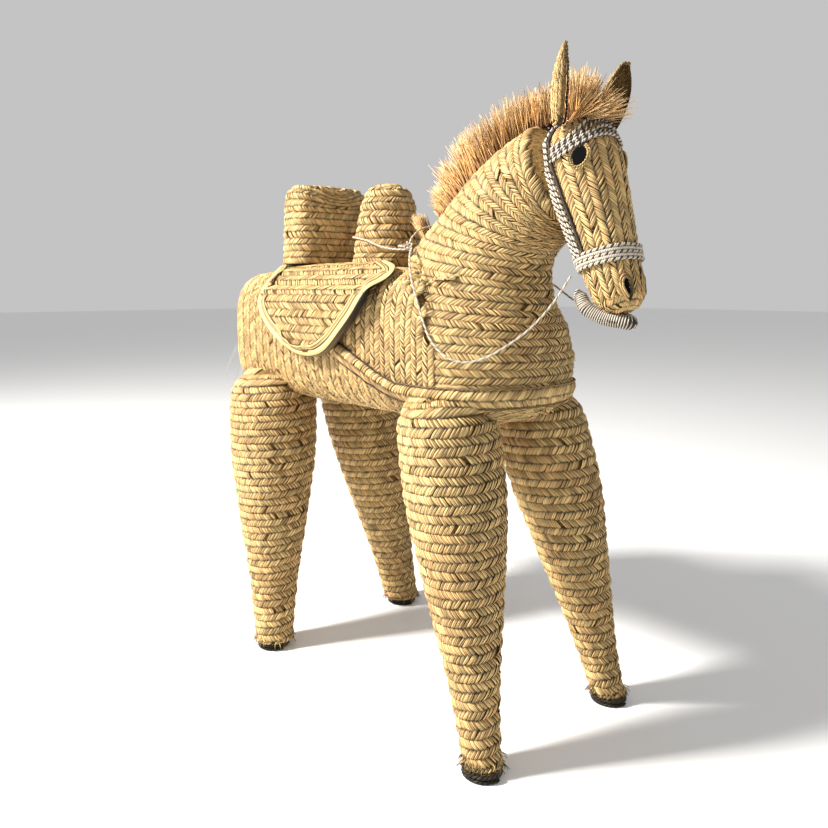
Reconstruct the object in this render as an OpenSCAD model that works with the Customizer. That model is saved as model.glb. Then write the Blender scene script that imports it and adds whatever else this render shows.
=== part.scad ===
// Woven esparto-grass horse with a saddle, standing on four straight legs.
// X points to the horse's head, Y to its left flank, Z up. The origin lies on the
// floor, in the middle of the horse's length and width. Millimetres.

/* [Trunk] */
// Height of the back above the floor
back_height = 864; // [820:1:900]
// Height of the belly above the floor
belly_height = 574; // [545:1:600]
// Width across the shoulders
shoulder_width = 340; // [300:1:380]
// Width across the rump
rump_width = 304; // [270:1:350]
// Distance from the middle of the stance back to the rump
rump_reach = 596; // [560:1:640]
// Distance from the middle of the stance forward to the breast
breast_reach = 302; // [285:1:320]
// Rounding of the rump's edges
rump_round = 84; // [50:1:100]
// Thickness of the woven covers
cover_wall = 12; // [8:1:16]

/* [Legs] */
// Distance between the middles of the front and rear feet
stance_length = 662; // [600:2:720]
// Distance between the middles of the two front feet
front_stance = 370; // [330:2:430]
// Distance between the middles of the two rear feet
rear_stance = 394; // [330:2:430]
// How far the front legs' tops stand behind their feet
front_lean = 154; // [100:2:180]
// How far the rear legs' tops stand behind their feet
rear_lean = 92; // [50:2:120]
// Distance between the middles of a left and a right leg's top
leg_top_spacing = 250; // [220:2:280]
// Width of the front legs at the top
front_thigh = 186; // [150:2:200]
// Width of the rear legs at the top
rear_thigh = 200; // [160:2:210]
// Width of the front legs at the ankle
front_ankle = 67; // [60:2:84]
// Width of the rear legs at the ankle
rear_ankle = 86; // [66:2:96]
// Thickness of the woven soles
sole_thickness = 16; // [12:1:24]
// Width of the soles
sole_width = 82; // [76:2:100]

/* [Head] */
// Length of the head from poll to lip
head_length = 330; // [300:2:350]
// Width of the head at the eyes
head_width = 122; // [110:2:140]
// Height of the ears
ear_height = 112; // [90:2:140]
// Width of the ears
ear_width = 49; // [34:1:56]
// Thickness of the rolled lower lip
lip_diameter = 22; // [16:1:26]
// Width of the noseband
noseband_width = 27; // [20:1:34]
// Width of the browband
browband_width = 24; // [18:1:30]
// Thickness of the bridle's bundled cords
bridle_thickness = 6; // [4:0.5:8]

/* [Saddle] */
// Thickness of the saddle's woven pad and flaps
pad_thickness = 13; // [10:1:18]
// How far the flaps hang below their bending line
flap_drop = 132; // [110:2:160]
// Height of the cantle above the pad
cantle_height = 172; // [130:2:200]
// Width of the cantle from flank to flank
cantle_width = 226; // [170:2:230]
// Length of the cantle along the back
cantle_depth = 112; // [80:2:130]
// Height of the pommel above the pad
pommel_height = 158; // [120:2:180]
// Width of the pommel
pommel_width = 148; // [110:2:160]
// Width of the breast band
band_width = 38; // [28:1:48]
// Thickness of the breast band
band_thickness = 8; // [6:1:12]

/* [Hair and reins] */
// Length of the mane's fibres
mane_length = 90; // [70:2:110]
// Thickness of the mane at its roots
mane_root = 30; // [20:1:40]
// How far the tail reaches behind the rump
tail_reach = 62; // [50:2:80]
// Length of the tail
tail_length = 330; // [250:5:400]
// Thickness of the rein cord
rein_diameter = 4; // [3:0.5:5]

/* [Inner frame] */
// Thickness of the leg posts
post_diameter = 38; // [30:1:44]
// Height and width of the timber beams
timber = 44; // [36:2:50]
// Diameter of the frame screws
screw_diameter = 6; // [5:1:8]

/* [Hidden] */

straw = [0.86, 0.74, 0.48];
dark_straw = [0.62, 0.48, 0.28];
hair = [0.80, 0.55, 0.31];
timber_colour = [0.76, 0.62, 0.42];
cord_colour = [0.85, 0.83, 0.78];

sewn_gap = 1.2;          // clearance between covers sewn edge to edge
seam_gap = 4;            // how far the neck's cover stays in front of the seam line
seam_step = 20;          // how far below the back the neck's cover starts to pass over it
pack_gap = 3;            // clearance between a cover and its packing
frame_gap = 1;           // clearance round the inner frame
room_gap = 2;            // clearance round the frame's round posts, in twelve-sided holes
squareness = 3.6;        // how square the trunk's cross-section is
plan_squareness = 2.3;   // how square the breast is, seen from above
trunk_sides = 32;
leg_sides = 20;

// The head's line, from its top at the poll down to the lip
head_tilt = 20;   // how far the face's line leans forward from upright
head_top_x = 335;
head_top_z = back_height + 219;
function on_head(t, out) = [head_top_x + sin(head_tilt) * t * head_length + cos(head_tilt) * out,
  head_top_z - cos(head_tilt) * t * head_length + sin(head_tilt) * out];
// Rows: place along the head, jaw and brow from the head's line, half width as a share, corner shape
head_rows = [
  [0.0, -12, 26, 0.30, 2.0], [0.015, -30, 46, 0.62, 2.0], [0.07, -44, 58, 0.88, 2.2], [0.2, -48, 64, 1.0, 2.4],
  [0.38, -46, 59, 0.93, 2.5], [0.56, -42, 53, 0.82, 2.5], [0.7, -38, 49, 0.75, 2.4], [0.82, -34, 46, 0.73, 2.3],
  [0.9, -28, 41, 0.68, 2.2], [0.95, -18, 33, 0.54, 2.1], [0.972, -6, 20, 0.3, 2.0]
];

front_reach = max([for (row = head_rows) on_head(row[0], row[2])[0]]);
rear_reach = rump_reach + tail_reach;
stance_x = (rear_reach - front_reach) / 2;   // middle of the stance from the origin

trunk_z = (back_height + belly_height) / 2;
trunk_half = (back_height - belly_height) / 2;
breast_mid = breast_reach - 160;             // where the trunk starts to round into the breast

function mix(a, b, t) = a + (b - a) * t;
function bent(v, power) = sign(v) * pow(abs(v), power);
function clip(v, low, high) = max(low, min(high, v));
function ease(t) = (1 - cos(180 * clip(t, 0, 1))) / 2;

// A smooth run of values through the rows of a list, with steps between each two rows
function spline(a, b, c, d, t) =
  ((2 * b) + (c - a) * t + (2 * a - 5 * b + 4 * c - d) * t * t + (3 * b - a - 3 * c + d) * t * t * t) / 2;
function smooth(rows, steps) = [
  for (i = [0:len(rows) - 2], j = [0:steps - 1])
    spline(rows[max(i - 1, 0)], rows[i], rows[i + 1], rows[min(i + 2, len(rows) - 1)], j / steps),
  rows[len(rows) - 1]
];

function centre(ring) = [for (k = [0:2]) (max([for (p = ring) p[k]]) + min([for (p = ring) p[k]])) / 2];

// A closed solid over rings of points; looped rings close on themselves, as in an open tube
module skin(rings, looped = false) {
  n = len(rings[0]);
  m = len(rings);
  points = [for (ring = rings) each ring, centre(rings[0]), centre(rings[m - 1])];
  walls = [for (i = [0:m - (looped ? 1 : 2)], j = [0:n - 1])
    let (a = i * n + j, b = i * n + (j + 1) % n, c = ((i + 1) % m) * n + j, d = ((i + 1) % m) * n
        + (j + 1) % n)
      each [[a, d, b], [a, c, d]]];
  ends = looped ? [] : [for (j = [0:n - 1]) each [[m * n, j, (j + 1) % n],
    [m * n + 1, (m - 1) * n + (j + 1) % n, (m - 1) * n + j]]];
  used = looped ? [for (ring = rings) each ring] : points;
  polyhedron(used, concat(walls, ends));
}

// A curved plate between two grids of points with the same rows and columns
module plate(upper, lower) {
  rows = len(upper);
  loop = [for (i = [0:rows - 1]) concat(upper[i], [for (j = [len(upper[i]) - 1:-1:0]) lower[i][j]])];
  n = len(loop[0]);
  half = n / 2;
  points = [for (ring = loop) each ring];
  walls = [for (i = [0:rows - 2], j = [0:n - 1])
    let (a = i * n + j, b = i * n + (j + 1) % n) each [[a, b, b + n], [a, b + n, a + n]]];
  first = [for (j = [0:half - 2]) each [[j, n - 1 - j, n - 2 - j], [j, n - 2 - j, j + 1]]];
  last_row = (rows - 1) * n;
  last = [for (j = [0:half - 2]) each [[last_row + j, last_row + n - 2 - j, last_row + n - 1 - j],
    [last_row + j, last_row + j + 1, last_row + n - 2 - j]]];
  polyhedron(points, concat(walls, first, last));
}

// A ring through p and q in the X-Z plane, with half width b and corner shape n
function ring(p, q, b, n, sides) = let (c = (p + q) / 2, h = (q - p) / 2) [
  for (i = [0:sides - 1]) let (a = 360 * i / sides, along = bent(cos(a), 2 / n))
    [c[0] + h[0] * along, b * bent(sin(a), 2 / n), c[1] + h[1] * along]
];
function grown(p, q, d) = let (u = (q - p) / norm(q - p)) [p - u * d, q + u * d];

// A round tube along a route of points
function route_tube(route, radius, sides) = [
  for (i = [0:len(route) - 1])
    let (t = route[min(i + 1, len(route) - 1)] - route[max(i - 1, 0)], u = t / norm(t),
      side = cross(u, abs(u[2]) > 0.8 ? [1, 0, 0] : [0, 0, 1]), v = side / norm(side), w = cross(u, v))
      [for (j = [0:sides - 1]) route[i] + radius * (cos(360 * j / sides) * v + sin(360 * j / sides) * w)]
];

module at_stance() { translate([stance_x, 0, 0]) children(); }
module both_sides(left) { mirror([0, left ? 1 : 0, 0]) children(); }

// ---- Trunk ----

// Where the neck's cover is sewn to the barrel's cover, at a height
function seam_x(z) = breast_mid + 28 - 0.0025 * pow(max(0, z - (trunk_z - 59)), 2);
function trunk_width(x) = mix(rump_width, shoulder_width,
    clip((x + rump_reach) / (rump_reach + breast_mid), 0, 1)) / 2;

// One ring of the barrel, t from 0 at the rump to 1 at the seam, shrunk by wall
function barrel_ring(x, inset, t, wall, sides) = [
  for (i = [0:sides - 1])
    let (a = 360 * i / sides, half = trunk_half - inset - wall, z = trunk_z
        - half * bent(cos(a), 2 / squareness))
      [x + t * (seam_x(z) - sewn_gap - seam_x(trunk_z - trunk_half)),
       (trunk_width(x) - inset - wall) * bent(sin(a), 2 / squareness), z]
];
function barrel_rings(wall, end, turns, runs, sides) = let (
    rear = -rump_reach + wall, r = rump_round - wall, straight = rear + r,
    last = seam_x(trunk_z - trunk_half) - end)
  concat(
    [for (k = [0:turns]) let (a = 90 * k / turns) barrel_ring(rear + r * (1 - cos(a)), r * (1 - sin(a)), 0,
        wall, sides)],
    [for (k = [1:runs]) let (t = k / runs) barrel_ring(mix(straight, last, t), 0, ease(1.6 * t - 0.6),
        wall, sides)]
  );

module barrel_cover() color(straw) at_stance() {
  outer = barrel_rings(0, 0, 5, 9, trunk_sides);
  inner = barrel_rings(cover_wall, 0, 3, 6, trunk_sides);
  difference() {
    skin(concat(outer, [for (k = [len(inner) - 1:-1:0]) inner[k]]));
    for (leg = legs) post_path(leg, room_gap, belly_height - 40, trunk_z, 12);
  }
}

module barrel_packing() color(dark_straw) at_stance() difference() {
  skin(barrel_rings(cover_wall + pack_gap, 16, 2, 4, 24));
  frame_room();
}

// The underside of the trunk above a place on the floor
function plan_distance(x, y) = pow(pow(max(0, x - breast_mid) / (breast_reach - breast_mid),
    plan_squareness)
  + pow(abs(y) / trunk_width(x), plan_squareness), 1 / plan_squareness);
function underside(x, y) = trunk_z - trunk_half
  * pow(max(0, 1 - pow(min(1, plan_distance(x, y)), squareness)), 1 / squareness);

// ---- Neck and breast ----

// Rows hold the crest's X and Z, the throat's X and Z, half width and corner shape;
// heights are from the back, which the neck rises from
function neck_rows() = [
  [-70, -62, breast_reach - 8, -112, shoulder_width / 2 - 14, 2.3],
  [-66, -20, breast_reach - 22, -76, shoulder_width / 2 - 36, 2.2],
  [-28, 20, breast_reach - 28, -34, shoulder_width / 2 - 58, 2.2],
  [24, 66, breast_reach - 24, 2, shoulder_width / 2 - 72, 2.2],
  [84, 118, breast_reach - 8, 22, shoulder_width / 2 - 80, 2.2],
  [144, 168, breast_reach + 12, 38, shoulder_width / 2 - 86, 2.2],
  [218, 210, breast_reach + 26, 54, shoulder_width / 2 - 92, 2.2],
  [280, 232, breast_reach + 29, 68, shoulder_width / 2 - 96, 2.2]
];
function under_breast(z) = pow(max(0, 1 - pow(min(1, abs(z - trunk_z) / trunk_half), squareness)),
    1 / squareness);
// The breast below mid height: level rings, flat along the seam, that close in towards the belly
function breast_side(x, wide, reach) = wide * pow(max(0, 1
    - pow(abs(x - breast_mid) / reach, plan_squareness)), 1 / plan_squareness);
function breast_ring(z, wide, reach, back, sides) = [
  for (i = [0:sides - 1]) let (a = 360 * i / sides, x = back
      + (breast_mid + reach - back) * max(0, bent(cos(a), 2 / plan_squareness)))
    [x, cos(a) > 0 ? sign(sin(a)) * breast_side(x, wide, reach) : sin(a) * breast_side(back, wide, reach),
        z]
];
function breast_rings(wall, gap, levels, sides) = [
  for (k = [0:levels - 1]) let (a = 90 * (k + 0.5) / levels, half = trunk_half - wall, z = trunk_z
      - half * cos(a),
      g = pow(1 - pow(cos(a), squareness), 1 / squareness), reach = (breast_reach - breast_mid - wall) * g)
    breast_ring(z, (shoulder_width / 2 - wall) * g, reach, seam_x(z) + gap, sides)
];
function neck_rings(wall, top, steps, sides) = [
  for (row = smooth(neck_rows(), steps)) let (ends = grown([row[0], row[1]], [row[2], row[3]], -wall),
      lift = [0, back_height])
    if (row[0] < top) ring(ends[0] + lift, ends[1] + lift, row[4] - wall, row[5], sides)
];
// Points behind the seam are brought forward onto it, and the rest stay above the back
function at_seam(rings, gap, step) = [for (r = rings) [for (p = r)
  let (level = step > 0 && p[2] > back_height - step ? max(p[2], back_height + gap) : p[2])
    p[2] < back_height + gap && p[0] < seam_x(p[2]) + gap ? [seam_x(p[2]) + gap, p[1], level] : p]];

module neck_cover() color(straw) at_stance() {
  back = seam_gap + cover_wall;
  outer = at_seam(concat(breast_rings(0, seam_gap, 5, 32), neck_rings(0, 290, 2, 32)), seam_gap, seam_step);
  inner = at_seam(concat(breast_rings(cover_wall, back, 3, 32), neck_rings(cover_wall, 290, 1, 32)),
    back, seam_step);
  difference() {
    skin(concat(outer, [for (k = [len(inner) - 1:-1:0]) inner[k]]));
    frame_room();
  }
}

module neck_packing() color(dark_straw) at_stance() difference() {
  wall = cover_wall + 2 * pack_gap;
  rings = concat(breast_rings(wall, seam_gap + wall, 3, 24), neck_rings(wall, 210, 1, 24));
  skin(at_seam(rings, seam_gap + wall, 0));
  frame_room();
}

// ---- Legs ----

// Rows: foot and top places from the middle of the stance, then widths at thigh and ankle
function leg_row(front, left) = let (side = left ? 1 : -1, foot = (front ? 1 : -1) * stance_length / 2)
  [[foot, side * (front ? front_stance : rear_stance) / 2, 0],
   [foot - (front ? front_lean : rear_lean), side * leg_top_spacing / 2, belly_height],
   front ? front_thigh : rear_thigh, front ? front_ankle : rear_ankle, front];
legs = [for (front = [true, false], left = [false, true]) leg_row(front, left)];
function on_leg(leg, z) = mix(leg[0], leg[1], z / belly_height);
// Leg widths as shares of the way from ankle to thigh, over shares of the belly's height
leg_profile = [[0, 0.02], [0.06, 0.0], [0.15, 0.07], [0.26, 0.19], [0.38, 0.38], [0.5, 0.58], [0.62, 0.76],
    [0.72, 0.91],
  [0.82, 0.99], [0.92, 1.0], [0.99, 0.99], [1.03, 0.92], [1.055, 0.78]];
band_z = belly_height + 58;
shoulder_limit = band_z - band_width / 2 - 4;   // the legs end under the breast band
function leg_point(leg, wall, share, a, scale, low) = let (z = max(low, share * belly_height),
    c = on_leg(leg, z),
    r = mix(leg[3], leg[2], scale) / 2 - wall, x = c[0] + r * cos(a), y = c[1] + r * sin(a),
    top = min(underside(x, y) - sewn_gap - wall, shoulder_limit - wall))
  [x, y, min(z, top)];
function leg_ring(leg, wall, row, sides, low) =
  [for (i = [0:sides - 1]) leg_point(leg, wall, row[0], 360 * i / sides, row[1], low)];
function leg_rings(leg, wall, low, steps, sides) = [for (row = smooth(leg_profile,
    steps)) if (row[0] * belly_height > low - 1 || row[0] == 0)
  leg_ring(leg, wall, row, sides, low)];

module leg_cover(leg) color(straw) at_stance() {
  low = sole_thickness + 0.4;
  outer = leg_rings(leg, 0, low, 1, leg_sides);
  inner = leg_rings(leg, cover_wall, low, 1, leg_sides);
  skin(concat(outer, [for (k = [len(inner) - 1:-1:0]) inner[k]]), looped = true);
}

module leg_packing(leg) color(dark_straw) at_stance() {
  low = sole_thickness + 4;
  outer = [for (k = [0, 2, 4, 6, 8, 10, 11]) leg_ring(leg, cover_wall + pack_gap, leg_profile[k], 12, low)];
  post = [for (r = outer) [for (i = [0:11]) let (z = r[i][2], c = on_leg(leg, z), a = 30 * i)
    [c[0] + (post_diameter / 2 + 1.5) * cos(a), c[1] + (post_diameter / 2 + 1.5) * sin(a), z]]];
  body = [for (k = [0:len(outer) - 2]) outer[k]];
  hole = [for (k = [len(outer) - 2:-1:0]) post[k]];
  skin(concat(body, hole), looped = true);
}

module sole(leg) color(dark_straw) at_stance() translate([leg[0][0], leg[0][1], 0]) rotate_extrude($fn = 48)
  polygon([[0, 0], [sole_width / 2 - 3, 0], [sole_width / 2, 3], [sole_width / 2, sole_thickness - 3],
    [sole_width / 2 - 3, sole_thickness], [0, sole_thickness]]);

// ---- Inner frame ----

spine_z = trunk_z + 10;
spine_rear = -rump_reach + 90;
crossbar_z = spine_z - timber / 2 - timber;      // underside of the crossbars
post_tops = [on_leg(legs[0], crossbar_z), on_leg(legs[2], crossbar_z)];
crossbar_places = [for (top = post_tops) top[0]];
post_screw_y = min(-post_tops[0][1], -post_tops[1][1]) - 3;
spine_front = crossbar_places[0] + timber;
post_end = 8;            // room for the slanting ends of the leg posts

module post_path(leg, gap, low, high, sides) {
  a = on_leg(leg, low);
  b = on_leg(leg, high);
  lean = norm([b[0] - a[0], b[1] - a[1]]);
  translate(a) rotate([0, atan2(lean, b[2] - a[2]), atan2(b[1] - a[1], b[0] - a[0])])
    cylinder(h = norm(b - a), d = post_diameter + 2 * gap, $fn = sides);
}
module leg_post(leg) color(timber_colour) at_stance() difference() {
  post_path(leg, 0, sole_thickness + post_end, crossbar_z - post_end, 40);
  screw_holes(on_leg(leg, crossbar_z)[0], [sign(leg[1][1]) * post_screw_y], crossbar_z + timber - 0.4);
}
module spine_shape(gap) translate([spine_rear - gap, -timber / 2 - gap, spine_z - timber / 2 - gap])
  cube([spine_front - spine_rear + 2 * gap, timber + 2 * gap, timber + 2 * gap]);
// The room that the frame needs in the covers and the packing
module frame_room() {
  spine_shape(frame_gap);
  for (x = crossbar_places) crossbar_shape(x, frame_gap);
  for (leg = legs) post_path(leg, room_gap, belly_height - 60, crossbar_z + 12, 12);
  neck_post_shape(room_gap, 12);
}
module spine_beam() color(timber_colour) at_stance() difference() {
  spine_shape(0);
  for (x = crossbar_places) screw_holes(x, [-beam_screw_y, beam_screw_y], spine_z + timber / 2);
}
module crossbar_shape(x, gap) {
  reach = post_screw_y + post_diameter / 2;
  translate([x - timber / 2 - gap, -reach - gap, crossbar_z - gap]) cube([timber + 2 * gap,
      2 * (reach + gap), timber + 2 * gap - 0.4]);
}
module crossbar(x) color(timber_colour) at_stance() difference() {
  crossbar_shape(x, 0);
  screw_holes(x, [-beam_screw_y, beam_screw_y], spine_z + timber / 2);
  screw_holes(x, [-post_screw_y, post_screw_y], crossbar_z + timber - 0.4);
}

// The neck's post stands on the spine and leans forward into the head
neck_foot = [crossbar_places[0] - 20, 0, spine_z + timber / 2 + 1];
neck_head = [head_top_x - 2, 0, head_top_z - 62];
neck_post_diameter = 34;
neck_tilt = atan2(neck_head[0] - neck_foot[0], neck_head[2] - neck_foot[2]);
module neck_post_shape(gap, sides) translate(neck_foot) rotate([0, neck_tilt, 0])
  translate([0, 0, -gap]) cylinder(h = norm(neck_head - neck_foot) + gap, d = neck_post_diameter + 2 * gap,
      $fn = sides);
module neck_post() color(timber_colour) at_stance() difference() {
  neck_post_shape(0, 40);
  translate([-300, -200, neck_foot[2] - 100]) cube([800, 400, 100]);
}
module head_post_shape(gap, sides) {
  start = on_head(0.14, 8);
  translate([start[0], 0, start[1]]) rotate([0, 180 - head_tilt, 0]) translate([0, 0, -gap])
    cylinder(h = head_length * 0.64 + 2 * gap, d = 24 + 2 * gap, $fn = sides);
}
module head_post() color(timber_colour) at_stance() head_post_shape(0, 32);

// Screws hold the spine on the crossbars and the crossbars on the leg posts, heads let in flush
beam_screw_y = 12;
screw_length = timber * 1.7;
screw_head = 4;
module screw_holes(x, places, top) for (y = places) translate([x, y, top]) {
  translate([0, 0, -screw_length - 1]) cylinder(h = screw_length + 2, d = screw_diameter + 0.6, $fn = 24);
  translate([0, 0, -screw_head - 0.4]) cylinder(h = screw_head + 2, d = 2 * screw_diameter + 0.8, $fn = 24);
}
module screws(x, places, top) for (y = places) translate([x, y, top - screw_head]) {
  cylinder(h = screw_head - 0.2, d = 2 * screw_diameter, $fn = 24);
  translate([0, 0, screw_head - screw_length]) cylinder(h = screw_length - screw_head + 0.1,
      d = screw_diameter, $fn = 24);
}
module frame_screws() color([0.55, 0.55, 0.57]) at_stance() for (x = crossbar_places) {
  screws(x, [-beam_screw_y, beam_screw_y], spine_z + timber / 2);
  screws(x, [-post_screw_y, post_screw_y], crossbar_z + timber - 0.4);
}

// ---- Head ----

function head_row(t) = let (k = [for (i = [0:len(head_rows) - 2]) if (head_rows[i][0] <= t) i],
    i = k[len(k) - 1],
    s = (t - head_rows[i][0]) / (head_rows[i + 1][0] - head_rows[i][0]))
  mix(head_rows[i], head_rows[i + 1], s);
function head_ring(row, out, sides) = ring(on_head(row[0], row[1] - out), on_head(row[0], row[2] + out),
  row[3] * head_width / 2 + out, row[4], sides);
// A place on the head, t along it and a degrees round from the middle of the face
function head_point(t, a, out) = let (row = head_row(t), p = on_head(row[0], row[1] - out),
    q = on_head(row[0], row[2] + out),
    c = (p + q) / 2, h = (q - p) / 2, along = bent(cos(a), 2 / row[4]))
  [c[0] + h[0] * along, (row[3] * head_width / 2 + out) * bent(sin(a), 2 / row[4]), c[1] + h[1] * along];

module head_cover() color(straw) at_stance() {
  outer = [for (row = head_rows) head_ring(row, 0, 28)];
  inner = [for (row = head_rows) if (row[0] > 0.03 && row[0] < 0.94) head_ring(row, -cover_wall * 0.75,
      28)];
  difference() {
    skin([for (k = [len(outer) - 1:-1:0]) outer[k]]);
    skin([for (k = [len(inner) - 1:-1:0]) inner[k]]);
    neck_post_shape(room_gap, 12);
  }
}
module head_packing() color(dark_straw) at_stance() difference() {
  rows = [for (row = head_rows) if (row[0] > 0.03 && row[0] < 0.94) row];
  skin([for (k = [len(rows) - 1:-1:0]) head_ring(rows[k], -cover_wall * 0.75 - pack_gap, 20)]);
  neck_post_shape(room_gap, 12);
  head_post_shape(room_gap, 12);
}

lip_gap = 6.6;           // clearance between the lip's roll and the muzzle
// A rolled lip, wrapped in cord, round the underside of the muzzle
module lip_roll() color(cord_colour) at_stance() {
  half = [for (row = smooth([[0.775, 150], [0.83, 152], [0.89, 150], [0.94, 146]], 3)) head_point(row[0],
      row[1], lip_diameter / 2 + lip_gap)];
  chin = [for (a = [60, 30, 0]) let (p = on_head(0.985, -6), r = head_width * 0.24)
    [p[0] + 26 * cos(a) * 0.8, -r * sin(a), p[1] - 9 + 4 * cos(a)]];
  right = [for (p = concat(half, chin)) [p[0], -abs(p[1]), p[2]]];
  route = concat(right, [for (k = [len(right) - 2:-1:0]) [right[k][0], -right[k][1], right[k][2]]]);
  skin(route_tube(route, lip_diameter / 2, 12));
}

// A flat bundle of cords round the head, from one angle to another; lift arches it upwards at the brow
function strap_edge(t, lift, a, dt, out) = head_point(t + dt - lift * pow(max(0, cos(a)), 2), a, out);
module head_strap(t, width, from, to, lift, steps) {
  half = width / head_length / 2;
  angles = [for (k = [0:steps]) mix(from, to, k / steps)];
  plate([for (a = angles) [for (dt = [half, -half]) strap_edge(t, lift, a, dt, strap_gap
      + bridle_thickness)]],
    [for (a = angles) [for (dt = [half, -half]) strap_edge(t, lift, a, dt, strap_gap)]]);
}
strap_gap = 2.4;         // clearance under the bridle's straps
brow_t = 0.155;
nose_t = 0.695;
nose_dip = 0.016;        // how much lower the noseband lies on the face than on the jaw
cheek_angle = 112;
module browband() color(cord_colour) at_stance() head_strap(brow_t, browband_width, -cheek_angle + 8,
    cheek_angle - 8, 0.05, 26);
module noseband() color(cord_colour) at_stance() {
  half = noseband_width / head_length / 2;
  rings = [for (edge = [[-half, strap_gap], [half, strap_gap], [half, strap_gap + bridle_thickness],
      [-half, strap_gap + bridle_thickness]])
    [for (a = [0:12:348]) head_point(nose_t + edge[0] + nose_dip * cos(a), a, edge[1])]];
  skin(rings, looped = true);
}
module cheek_straps() color(cord_colour) at_stance() for (left = [false, true]) both_sides(left) {
  low = nose_t - noseband_width / head_length / 2 - nose_dip;
  path = [for (k = [0:12]) let (t = mix(0.05, low, k / 12)) [t,
      -mix(cheek_angle + 8, cheek_angle + 2, k / 12)]];
  plate([for (row = path) [for (da = [-12, 12]) head_point(row[0], row[1] + da, strap_gap + 1
      + bridle_thickness)]],
    [for (row = path) [for (da = [-12, 12]) head_point(row[0], row[1] + da, strap_gap + 1)]]);
}

// An ear is one broad braid folded along its back, hollow to the front
module ear() {
  root = [head_top_x + 24, -head_width * 0.47, head_top_z - 4];
  rows = [for (k = [0:8]) let (t = k / 8, r = ear_width / 2 * (0.5
      + 0.6 * pow(sin(180 * mix(0.12, 1, t)), 0.8)) * (1 - 0.5 * pow(t, 5)))
    [for (wall = [0, 1]) [for (j = [0:8]) let (a = mix(-118, 118, j / 8), s = (r - wall * 4))
      root + [-s * cos(a) * 0.7, -s * sin(a), t * ear_height]]]];
  lean_from(root) rotate_about(root, -41) plate([for (row = rows) row[1]], [for (row = rows) row[0]]);
}
module lean_from(p) translate(p) multmatrix([[1, 0, 0.2, 0], [0, 1, -0.2, 0],
    [0, 0, 1, 0]]) translate(-p) children();
module rotate_about(p, a) translate(p) rotate([0, 0, -a]) translate(-p) children();
module ear_right() color(straw) at_stance() ear();
module ear_left() color(straw) at_stance() both_sides(true) ear();

// Almond eyes let into a ring of cord
eye_t = 0.226;
module eye_place() {
  translate(head_point(eye_t, -63, 1.6)) rotate([0, 81, -64]) children();
}
module almond(length, width) intersection() {
  r = (length * length + width * width) / (4 * width);
  translate([0, r - width / 2]) circle(r, $fn = 64);
  translate([0, -(r - width / 2)]) circle(r, $fn = 64);
}
module eye() eye_place() linear_extrude(4) rotate(-24) almond(29, 20);
module eye_rim() eye_place() linear_extrude(4.6) rotate(-24) difference() {
  almond(36, 27);
  almond(29.6, 20.6);
}
module eye_right() color("black") at_stance() eye();
module eye_left() color("black") at_stance() both_sides(true) eye();
module eye_rims() color(cord_colour) at_stance() for (left = [false, true]) both_sides(left) eye_rim();

// ---- Saddle ----

flap_line = trunk_z + trunk_half * 0.66;     // height of the line where the flaps bend
flap_y = max(shoulder_width, rump_width) / 2 + band_thickness + 5 + pad_thickness / 2;   // middle of a flap
// A place on the pad: a degrees round from the top of the back
function pad_point(x, a, out) = let (
    w = max(shoulder_width / 2, trunk_width(x)) + out - mix(6, 0, abs(a) / 60),
    side = bent(sin(a), 2 / squareness), up = bent(cos(a), 2 / squareness))
  [x, w * side, trunk_z + (trunk_half + out) * up];
pad_edge = 60;
function pad_front(a) = abs(a) < 42 ? mix(-84, 58, ease(abs(a) / 42))
    : mix(58, 22, (abs(a) - 42) / (pad_edge - 42));
function pad_rear(a) = mix(-424, -362, ease(abs(a) / pad_edge));
pad_angles = [for (k = [-10:10]) bent(k / 10, 0.85) * pad_edge];
function pad_grid(out) = [for (a = pad_angles) [for (k = [7:-1:0]) pad_point(mix(pad_rear(a), pad_front(a),
    k / 7), a, out)]];
module saddle_pad() color(straw) at_stance() plate(pad_grid(sewn_gap + pad_thickness), pad_grid(sewn_gap));

flap_outline = [[-362, 0], [-358, -0.24], [-328, -0.54], [-264, -0.83], [-186, -1], [-122, -0.91],
    [-62, -0.63], [-12, -0.3], [22, 0]];
function flap_curve() = [for (p = smooth(flap_outline, 3)) [p[0], p[1] * flap_drop]];
edging_width = 26;
edging_height = 2.4;
module flap_plate(low, high, inset) translate([0, -flap_y, flap_line]) rotate([90, 0, 0]) translate([0, 0,
    low])
  linear_extrude(high - low) difference() {
    polygon(flap_curve());
    if (inset > 0) scale_in(inset);
  }
module scale_in(inset) translate([0, 6]) intersection() {
  offset(delta = -inset) polygon(flap_curve());
  translate([-500, -flap_drop]) square([600, flap_drop - 12]);
}
module flap() {
  flap_plate(-pad_thickness / 2, pad_thickness / 2, 0);
  translate([flap_outline[0][0], -flap_y, flap_line]) rotate([0, 90, 0])
    cylinder(h = flap_outline[len(flap_outline) - 1][0] - flap_outline[0][0], d = pad_thickness, $fn = 32);
}
module flap_edging() flap_plate(pad_thickness / 2 + 0.2, pad_thickness / 2 + 0.2 + edging_height,
    edging_width);
module flap_right() color(straw) at_stance() flap();
module flap_left() color(straw) at_stance() both_sides(true) flap();
module flap_edging_right() color(straw) at_stance() flap_edging();
module flap_edging_left() color(straw) at_stance() both_sides(true) flap_edging();

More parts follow.
